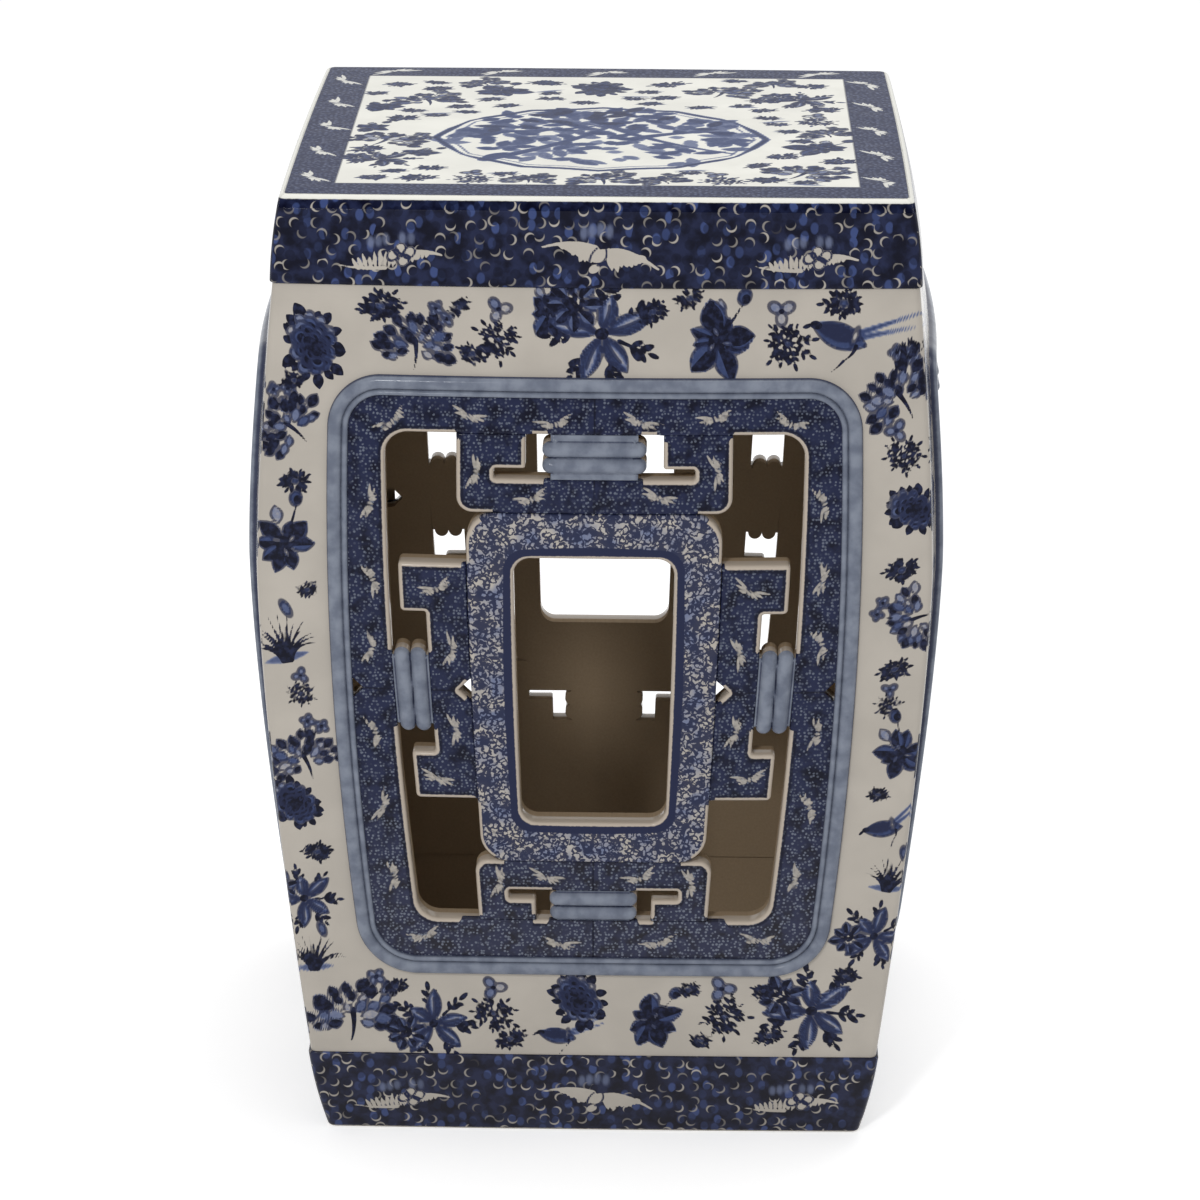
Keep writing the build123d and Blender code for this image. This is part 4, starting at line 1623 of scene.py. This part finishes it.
# %% Build the lattice frames
frame_rows = 20
seam_lift = 30.0
lattice_seed = 60
opening = bowed_loop(opening_half, opening_bottom, opening_top, opening_corner_radius, lattice_share)
frame_edge = window[:, 0].copy()
notch_way = np.abs(frame_edge[:, 1] - tie_middle)
notch_point = (panel_width / 2 - moulding_width) * panel_share(tie_middle) - frame_notch + notch_way
beside = (notch_way < frame_notch) & (np.abs(frame_edge[:, 0]) > opening_half)
frame_edge[:, 0] = np.where(beside, np.sign(frame_edge[:, 0]) * notch_point, frame_edge[:, 0])
on_end = np.minimum(np.abs(opening[:, 1] - opening_top), np.abs(opening[:, 1] - opening_bottom)) < 1
level = np.abs(opening[:, 0])
post_seam = np.maximum(near_zone(level, post_edge, cross_bracket_width / 2), within(level, tie_half))
side_seam = within(np.abs(opening[:, 1] - tie_middle), side_tie_half)
frame_seam = np.where(on_end, post_seam, side_seam)
hidden_edge = np.full(len(opening), hidden_radius)
frame_strip = build_strip(frame_edge, opening, hidden_edge, edge_radius(frame_seam), 0.0, frame_rows)


def crease_way(flat):
    """Distance from the two lines where the clay was joined: upright in the middle, level beside the ties."""
    return np.minimum(np.abs(flat[..., 0]), np.abs(flat[..., 1] - tie_middle)).ravel()


def bare_inside(through):
    """How far a cut face has turned to bare clay: from a third of the way through the wall."""
    return np.clip((through - wall_steps[0]) / np.ptp(wall_steps), 0, 1).ravel()


# Each butterfly's place on the panel and its lean; those on uprights fly sideways.
butterflies = [
    (-93, 368, 0.5), (-57, 371, -0.2), (-18, 368, 0.4), (21, 369, -0.4), (55, 371, 0.3), (90, 368, -0.4),
    (-104, 329, 1.3), (-103, 292, 1.9), (-104, 258, 1.4), (-103, 215, 1.8), (-100, 177, 1.3), (-95, 140, 1.7),
    (-81, 108, 0.3), (-16, 105, -0.3), (31, 106, 0.3), (79, 108, -0.2), (95, 141, 1.4), (101, 178, 1.9),
    (104, 217, 1.3), (105, 262, 1.8), (105, 294, 1.4), (105, 330, 1.9),
    (-55, 345, 1.5), (-29, 333, 0.3), (30, 334, -0.3), (56, 346, 1.7), (-73, 289, 0.4), (-66, 258, 1.4),
    (-65, 218, 1.8), (-73, 193, -0.3), (72, 289, -0.4), (67, 258, 1.7), (66, 218, 1.3), (73, 194, 0.3),
    (-45, 138, 1.4), (-22, 141, -0.3), (22, 141, 0.3), (46, 138, 1.7),
]
butterfly_size = 16.0


def paint_lattice(flat, turn):
    """Brushwork of one lattice piece: butterflies, a little moved from side to side."""
    work = Brushwork(flat)
    chance = np.random.default_rng(lattice_seed + turn)
    for x, z, lean in butterflies:
        shift = chance.uniform(-1, 1, 2) * spray_drift * min(turn, 1)
        butterfly(Motif(work, (x + shift[0], z + shift[1]), butterfly_size, lean), chance)
    return work


def lattice_marks(flat, through, edge, turn):
    """Marks of one lattice piece, from its places, its way through the wall and its distance from edges."""
    return {
        "place": place_marks(flat, turn),
        "inside": bare_inside(through),
        "edge": edge,
        "crease": crease_way(flat),
        **paint_lattice(flat, turn).marks("reserve"),
    }


def frame_marks(turn):
    """Marks of one lattice frame."""
    _, flat, _, inner, through = frame_strip
    edge = np.where(through > 0, -wall_thickness * through, inner + seam_lift * frame_seam[:, None])
    return lattice_marks(flat, through, edge, turn)


strip_faces = grid_faces(*frame_strip[2].shape, wrap_rows=True, wrap_columns=True)
place_sides("lattice_frame", frame_strip[0], [strip_faces], frame_marks, "speckled_glaze")

# %% [markdown]
# ### The ring
# The ring stands a little proud of the lattice, and the brackets are luted to it. It is a strip like the
# frame, so the same function makes it, from other loops and with a rise.

# %% Build the rings
ring_counts = (90, 24, 130)
ring_rows = 22
ring_seam_radius = 1.4
ring_edge = bowed_loop(ring_half, ring_bottom, ring_top, ring_corner_radius, lattice_share, ring_counts)
ring_hole = bowed_loop(ring_half - ring_band, ring_bottom + ring_band, ring_top - ring_band,
                       ring_hole_corner_radius, lattice_share, ring_counts)
beside_ring = within(np.abs(ring_edge[:, 1] - bracket_middle), side_bracket_height / 2)
over_ring = within(np.abs(ring_edge[:, 0]), cross_bracket_width / 2)
at_end = np.minimum(np.abs(ring_edge[:, 1] - ring_top), np.abs(ring_edge[:, 1] - ring_bottom)) < 2
ring_seam = np.where(at_end, over_ring, beside_ring)
ring_outer_radius = free_radius + (ring_seam_radius - free_radius) * ring_seam
ring_inner_radius = np.full(len(ring_edge), free_radius)
ring_strip = build_strip(ring_edge, ring_hole, ring_outer_radius, ring_inner_radius, ring_rise, ring_rows)


def ring_marks(turn):
    """Marks of one ring."""
    _, flat, outer, inner, through = ring_strip
    edge = np.minimum(outer + seam_lift * ring_seam[:, None], inner)
    edge = np.where(through > 0, -wall_thickness * through, edge)
    return {
        "place": place_marks(flat, turn),
        "inside": bare_inside(through),
        "edge": edge,
        "hole": inner,
    }


ring_faces = grid_faces(*ring_strip[2].shape, wrap_rows=True, wrap_columns=True)
place_sides("ring", ring_strip[0], [ring_faces], ring_marks, "scrolled_ring_glaze")

# %% [markdown]
# ## Boards of the lattice: brackets and ties
# Brackets and ties are boards cut to an outline with hooks and notches, too lively for a grid. Points
# are spread inside the outline, thickly near the edge, and joined into triangles. A point's distance
# from the outline then says how far the rounded clay edge has dropped there.

# %% Boards cut to an outline
board_spacing = 0.9
arc_steps = 8


def rounded_outline(corners, radii, spacing=board_spacing):
    """Closed outline through corners, each cut by a circle of its radius, in steps of about one spacing."""
    corners = np.array(corners, float)
    stretches = []
    for number, corner in enumerate(corners):
        before = corners[number - 1] - corner
        after = corners[(number + 1) % len(corners)] - corner
        before, after = before / np.hypot(*before), after / np.hypot(*after)
        half = np.arccos(np.clip(before @ after, -1, 1)) / 2
        cut = radii[number] / np.tan(half)
        share = np.linspace(0, 1, arc_steps)[:, None]
        start, stop = corner + before * cut, corner + after * cut
        middle = corner + (before + after) / np.hypot(*(before + after)) * radii[number] / np.sin(half)
        chord = start + (stop - start) * share - middle
        arc = middle + chord / np.hypot(*chord.T)[:, None] * radii[number]
        stretches.append(arc)
    outline = []
    for number, arc in enumerate(stretches):
        following = stretches[(number + 1) % len(stretches)][0]
        steps = max(1, int(np.hypot(*(following - arc[-1])) / spacing))
        share = np.linspace(0, 1, steps + 1)[1:-1, None]
        outline += [arc, arc[-1] + (following - arc[-1]) * share]
    return np.concatenate(outline)


print("outline helpers ready")

# %% Fill an outline
def loop_distance(points, loop):
    """Distance of points from the nearest stretch of a closed loop, and that stretch's number."""
    step = np.roll(loop, -1, axis=0) - loop
    way = points[:, None] - loop
    share = np.clip((way * step).sum(-1) / np.maximum((step * step).sum(-1), 1e-9), 0, 1)
    gap = np.linalg.norm(way - share[..., None] * step, axis=-1)
    return gap.min(1), gap.argmin(1)


def inside_loop(points, loop):
    """Whether points lie inside a closed loop: a level ray from each crosses it an odd number of times."""
    x, z = points[:, :1], points[:, 1:]
    (x0, z0), (x1, z1) = loop.T, np.roll(loop, -1, axis=0).T
    rise = np.where(z1 == z0, 1e-9, z1 - z0)
    crosses = ((z0 > z) != (z1 > z)) & (x < x0 + (z - z0) / rise * (x1 - x0))
    return crosses.sum(1) % 2 == 1


edge_rings = (0.2, 0.6, 1.1, 1.6, 2.1)
grid_depth = 2.7
depth_slack = 0.94


def fill_outline(loop):
    """Points and triangles that fill an outline, thickest beside its edge."""
    along = np.roll(loop, -1, axis=0) - np.roll(loop, 1, axis=0)
    inward = np.stack([-along[:, 1], along[:, 0]], axis=-1) / np.hypot(*along.T)[:, None]
    ticks = [np.arange(low, high, board_spacing) for low, high in zip(loop.min(0), loop.max(0))]
    grid = np.stack(np.meshgrid(*ticks), axis=-1).reshape(-1, 2)
    kept = []
    rings = [(depth, loop + inward * depth) for depth in edge_rings]
    for depth, points in rings + [(grid_depth, grid)]:
        deep = loop_distance(points, loop)[0] > depth * depth_slack
        kept.append(points[deep & inside_loop(points, loop)])
    points = np.concatenate([loop] + kept)
    numbers = np.arange(len(loop))
    edges = np.stack([numbers, np.roll(numbers, -1)], axis=-1)
    filled = delaunay_2d_cdt(points.tolist(), edges.tolist(), [], 1, 1e-5)
    return np.array([tuple(point) for point in filled[0]]), np.array(filled[2])


print("filling helpers ready")

# %% Solid boards
def build_board(loop, radius, height):
    """Solid board: filled front with rounded edges, walls through the side, and one face behind."""
    flat, triangles = fill_outline(loop)
    gap, nearest = loop_distance(flat, loop)
    round_off = radius[nearest]
    drop = round_off * (1 - np.sqrt(1 - (1 - np.clip(gap / round_off, 0, 1)) ** 2))
    front = side_surface(flat, np.maximum(height(flat), -drop))
    rear = side_surface(loop, -wall_thickness, inner_corner_radius)
    through = np.append(wall_steps, 1.0)
    count = len(loop)
    walls = front[:count] + (rear - front[:count]) * through[:, None, None]
    points = np.concatenate([front, walls.reshape(-1, 3)])
    numbers = np.concatenate([np.arange(count)[None], len(front) + np.arange(3 * count).reshape(3, count)])
    sides = numbers.ravel()[grid_faces(4, count, wrap_columns=True)][:, ::-1]
    behind = numbers[-1:, ::-1]
    flat = np.concatenate([flat, np.tile(loop, (3, 1))])
    depth = np.concatenate([np.zeros(len(front)), np.repeat(through, count)])
    gap = np.concatenate([gap, np.zeros(3 * count)])
    nearest = np.concatenate([nearest, np.tile(np.arange(count), 3)])
    return points, [triangles, sides, behind], flat, gap, nearest, depth


def plain(flat):
    """No relief: far below every surface."""
    return np.full(len(flat), -far)


print("board helpers ready")

# %% [markdown]
# ### The brackets
# Hooked bars lie above and below the ring, and stems with two arms stand beside it. Each is drawn by its
# corners, with a radius for every corner, as it would be cut from a slab with a knife.

# %% Build the brackets
sharp_corner = 0.4
small_corner = 1.2
arm_corner = 2.0
seam_slack = 0.1


def board_marks(board, seam):
    """Function that gives the marks of a board on any side."""
    _, _, flat, gap, nearest, depth = board
    edge = np.where(depth > 0, -wall_thickness * depth, gap + seam_lift * seam[nearest])

    def marks(turn):
        return lattice_marks(flat, depth, edge, turn)

    return marks


def narrowed(loop):
    """Outline drawn on a straight-sided panel, narrowed with the openwork."""
    return np.stack([loop[:, 0] * lattice_share(loop[:, 1]), loop[:, 1]], axis=-1)


def cross_bracket(ring_side, frame_side):
    """Bar along the ring with two hooked posts against the frame, and where its edge is luted on."""
    way = 1 if frame_side > ring_side else -1
    bar_side = ring_side + way * cross_bracket_bar
    foot_side = bar_side + way * slot_foot_height
    half, foot = cross_bracket_width / 2, post_edge + slot_foot_length
    right = [(half, ring_side), (half, frame_side), (post_edge, frame_side), (post_edge, foot_side),
             (foot, foot_side), (foot, bar_side)]
    left = [(-x, z) for x, z in reversed(right)]
    radii = [cross_bracket_corner_radius] + [sharp_corner] * 2 + [small_corner] * 3
    loop = rounded_outline((right + left)[::way], (radii + radii[::-1])[::way])
    x, z = np.abs(loop[:, 0]), loop[:, 1]
    on_frame = within(np.abs(z - frame_side), seam_slack)
    on_ring = within(np.abs(z - ring_side), seam_slack) * within(x, ring_half - ring_corner_radius)
    under_tie = within(np.abs(z - bar_side), seam_slack) * within(x, tie_half)
    return narrowed(loop), np.maximum(np.maximum(on_frame, on_ring), under_tie)


def side_bracket(way):
    """Stem with an arm at each end, notched against the ring, and where its edge is luted on."""
    bottom, top = bracket_middle - side_bracket_height / 2, bracket_middle + side_bracket_height / 2
    outline = [
        (ring_half, bottom), (arm_end, bottom), (arm_end, bottom + side_arm_height),
        (stem_edge, bottom + side_arm_height), (stem_edge, top - side_arm_height),
        (arm_end, top - side_arm_height), (arm_end, top), (ring_half, top),
        (ring_half, tie_middle + side_notch), (ring_half + side_notch, tie_middle),
        (ring_half, tie_middle - side_notch),
    ]
    arm = [arm_corner] * 2
    radii = [sharp_corner, *arm, small_corner, small_corner, *arm] + [sharp_corner] * 4
    loop = rounded_outline([(way * x, z) for x, z in outline][::way], radii[::way])
    x, z = np.abs(loop[:, 0]), loop[:, 1]
    on_ring = within(x, ring_half + seam_slack)
    at_tie = within(np.abs(z - tie_middle), side_tie_half)
    return narrowed(loop), np.maximum(on_ring, within(np.abs(x - stem_edge), seam_slack) * at_tie)


brackets = {
    "bracket_top": cross_bracket(ring_top, opening_top),
    "bracket_bottom": cross_bracket(ring_bottom, opening_bottom),
    "bracket_left": side_bracket(-1),
    "bracket_right": side_bracket(1),
}
for bracket_name, (bracket_loop, bracket_seam) in brackets.items():
    board = build_board(bracket_loop, edge_radius(bracket_seam), plain)
    marks = board_marks(board, bracket_seam)
    place_sides(bracket_name, board[0], board[1], marks, "speckled_glaze")

# %% [markdown]
# ### The ties
# A tie is a small plate with two round ribs. The ribs could be bars of their own, but one board whose surface
# has a height at every point needs no joins, so the ribs are a height.

# %% Build the ties
rib_radius = 3.5
rib_rise = 3.0
rib_edge = 0.15
lobe_steps = 14


def tie_outline(length, low, high, middle):
    """Outline in (along, across): a plate from low to high with two round lobes past each end."""
    half = length / 2 - tie_lobe_width / 2
    turn = np.linspace(-np.pi / 2, np.pi / 2, lobe_steps)
    lobe = tie_lobe_width / 2
    plate = np.linspace(-half, half, int(2 * half / board_spacing))
    lower = (half + lobe * np.cos(turn), middle - lobe + lobe * np.sin(turn))
    upper = (half + lobe * np.cos(turn[1:]), middle + lobe + lobe * np.sin(turn[1:]))
    right = np.concatenate([np.stack(lower, axis=-1), np.stack(upper, axis=-1)])
    left = right[::-1] * [-1, 1]
    foot = np.stack([plate, 0 * plate + low], axis=-1)
    return np.concatenate([foot, right, foot[::-1] * [1, 0] + [0, high], left])


def tie(length, low, high, middle, upright):
    """Board and marks of one tie: each rib is a round bar with domed ends, half sunk in the plate."""
    outline = tie_outline(length, low, high, middle)
    loop = narrowed(outline[::-1, ::-1] + [0, upright] if upright else outline)
    half = length / 2 - tie_lobe_width / 2

    def local(flat):
        x = flat[:, 0] / lattice_share(flat[:, 1])
        return (flat[:, 1] - upright, x) if upright else (x, flat[:, 1])

    def ribs(flat):
        along, across = local(flat)
        past = np.maximum(np.abs(along) - half, 0)
        off = np.abs(np.abs(across - middle) - tie_lobe_width / 2)
        return np.sqrt(np.maximum(0, rib_radius**2 - off**2 - past**2)) - rib_radius + rib_rise

    edge = np.abs(local(loop)[1] - (low + high) / 2)
    seam = near_zone(edge, (high - low) / 2 - seam_slack, far)
    board = build_board(loop, edge_radius(seam), ribs)
    flat, gap, depth = board[2], board[3], board[5]
    off = np.abs(local(flat)[1] - middle)
    groove = np.minimum(off, np.abs(off - tie_lobe_width) + rib_edge)
    return board, np.where(depth > 0, -wall_thickness * depth, gap), groove


bar_top, bar_bottom = ring_top + cross_bracket_bar, ring_bottom - cross_bracket_bar
tie_boards = [
    tie(cross_tie_length, bar_top, opening_top, (bar_top + opening_top) / 2, 0),
    tie(cross_tie_length, opening_bottom, bar_bottom, (bar_bottom + opening_bottom) / 2, 0),
    tie(side_tie_length, stem_edge, opening_half, (stem_edge + opening_half) / 2, tie_middle),
    tie(side_tie_length, -opening_half, -stem_edge, -(stem_edge + opening_half) / 2, tie_middle),
]
starts = np.cumsum([0] + [len(board[0]) for board, _, _ in tie_boards])
tie_points = np.concatenate([board[0] for board, _, _ in tie_boards])
tie_groups = [group + start for (board, _, _), start in zip(tie_boards, starts) for group in board[1]]
tie_flat = np.concatenate([board[2] for board, _, _ in tie_boards])
tie_depth = np.concatenate([board[5] for board, _, _ in tie_boards])
tie_edge = np.concatenate([edge for _, edge, _ in tie_boards])
tie_groove = np.concatenate([groove for _, _, groove in tie_boards])


def tie_marks(turn):
    """Marks of the four ties of one side."""
    return {
        "place": place_marks(tie_flat, turn),
        "inside": bare_inside(tie_depth),
        "edge": tie_edge,
        "groove": tie_groove,
    }


place_sides("ties", tie_points, tie_groups, tie_marks, "pale_blue_glaze")

# %% [markdown]
# ## The studio
# A pale floor, a key lamp in front, a broad lamp above and an even grey sky light the stool at a plain
# level. The camera, and what reflects or passes light, sees a white backdrop.

# %% Floor, lamps and sky
floor_size = 12.0
black = (0.0, 0.0, 0.0, 1.0)
white = (1.0, 1.0, 1.0, 1.0)
sky_grey = (0.55, 0.55, 0.55, 1.0)
floor_mesh = bpy.data.meshes.new("floor")
corner_signs = np.array([[-1, -1], [1, -1], [1, 1], [-1, 1]]) * floor_size / 2
floor_mesh.from_pydata([(x, y, 0.0) for x, y in corner_signs], [], [(0, 1, 2, 3)])
floor = bpy.data.objects.new("floor", floor_mesh)
bpy.context.scene.collection.objects.link(floor)


def seen_directly(s):
    """1 for what the camera sees directly, in a reflection or through a clear body, and 0 for lighting."""
    camera_ray = s.node("ShaderNodeLightPath", {}, {}, "Is Camera Ray")
    outputs = camera_ray.socket.node.outputs
    glossy_ray = Signal(s.tree, outputs["Is Glossy Ray"])
    clear_ray = Signal(s.tree, outputs["Is Transmission Ray"])
    return (camera_ray + glossy_ray + clear_ray).lower(1.0)


floor_paint, s = start_glaze("floor_paint")
floor_shader = floor_paint.node_tree.nodes["Principled BSDF"]
floor_values = {
    "Base Color": (0.9, 0.9, 0.9, 1.0),
    "Roughness": 0.9,
    "Specular IOR Level": 0.0,
    "Emission Strength": 0.45,
}
for socket, value in floor_values.items():
    floor_shader.inputs[socket].default_value = value
seen_floor = seen_directly(s).blend(black, white)
floor_paint.node_tree.links.new(seen_floor.socket, floor_shader.inputs["Emission Color"])
floor_mesh.materials.append(floor_paint)


def add_lamp(name, place, aim, size, power):
    """Square soft lamp that points from its place to its aim, both in metres."""
    lamp = bpy.data.objects.new(name, bpy.data.lights.new(name, "AREA"))
    lamp.data.size = size
    lamp.data.energy = power
    lamp.location = place
    way = np.array(aim) - np.array(place)
    level = math.hypot(way[0], way[1])
    lamp.rotation_euler = (math.atan2(level, -way[2]), 0, math.atan2(-way[0], way[1]))
    bpy.context.scene.collection.objects.link(lamp)


add_lamp("key_lamp", place=(-0.5, -1.9, 1.5), aim=(0, 0, 0.3), size=0.25, power=14.0)
add_lamp("top_lamp", place=(0.3, 0.4, 2.4), aim=(0, 0, 0.4), size=1.2, power=18.0)

world = bpy.data.worlds.new("sky")
world.use_nodes = True
bpy.context.scene.world = world
background = world.node_tree.nodes["Background"]
backdrop = seen_directly(Signal(world.node_tree)).blend(sky_grey, white)
world.node_tree.links.new(backdrop.socket, background.inputs["Color"])
bpy.context.scene.view_settings.view_transform = "Standard"
print("studio ready")
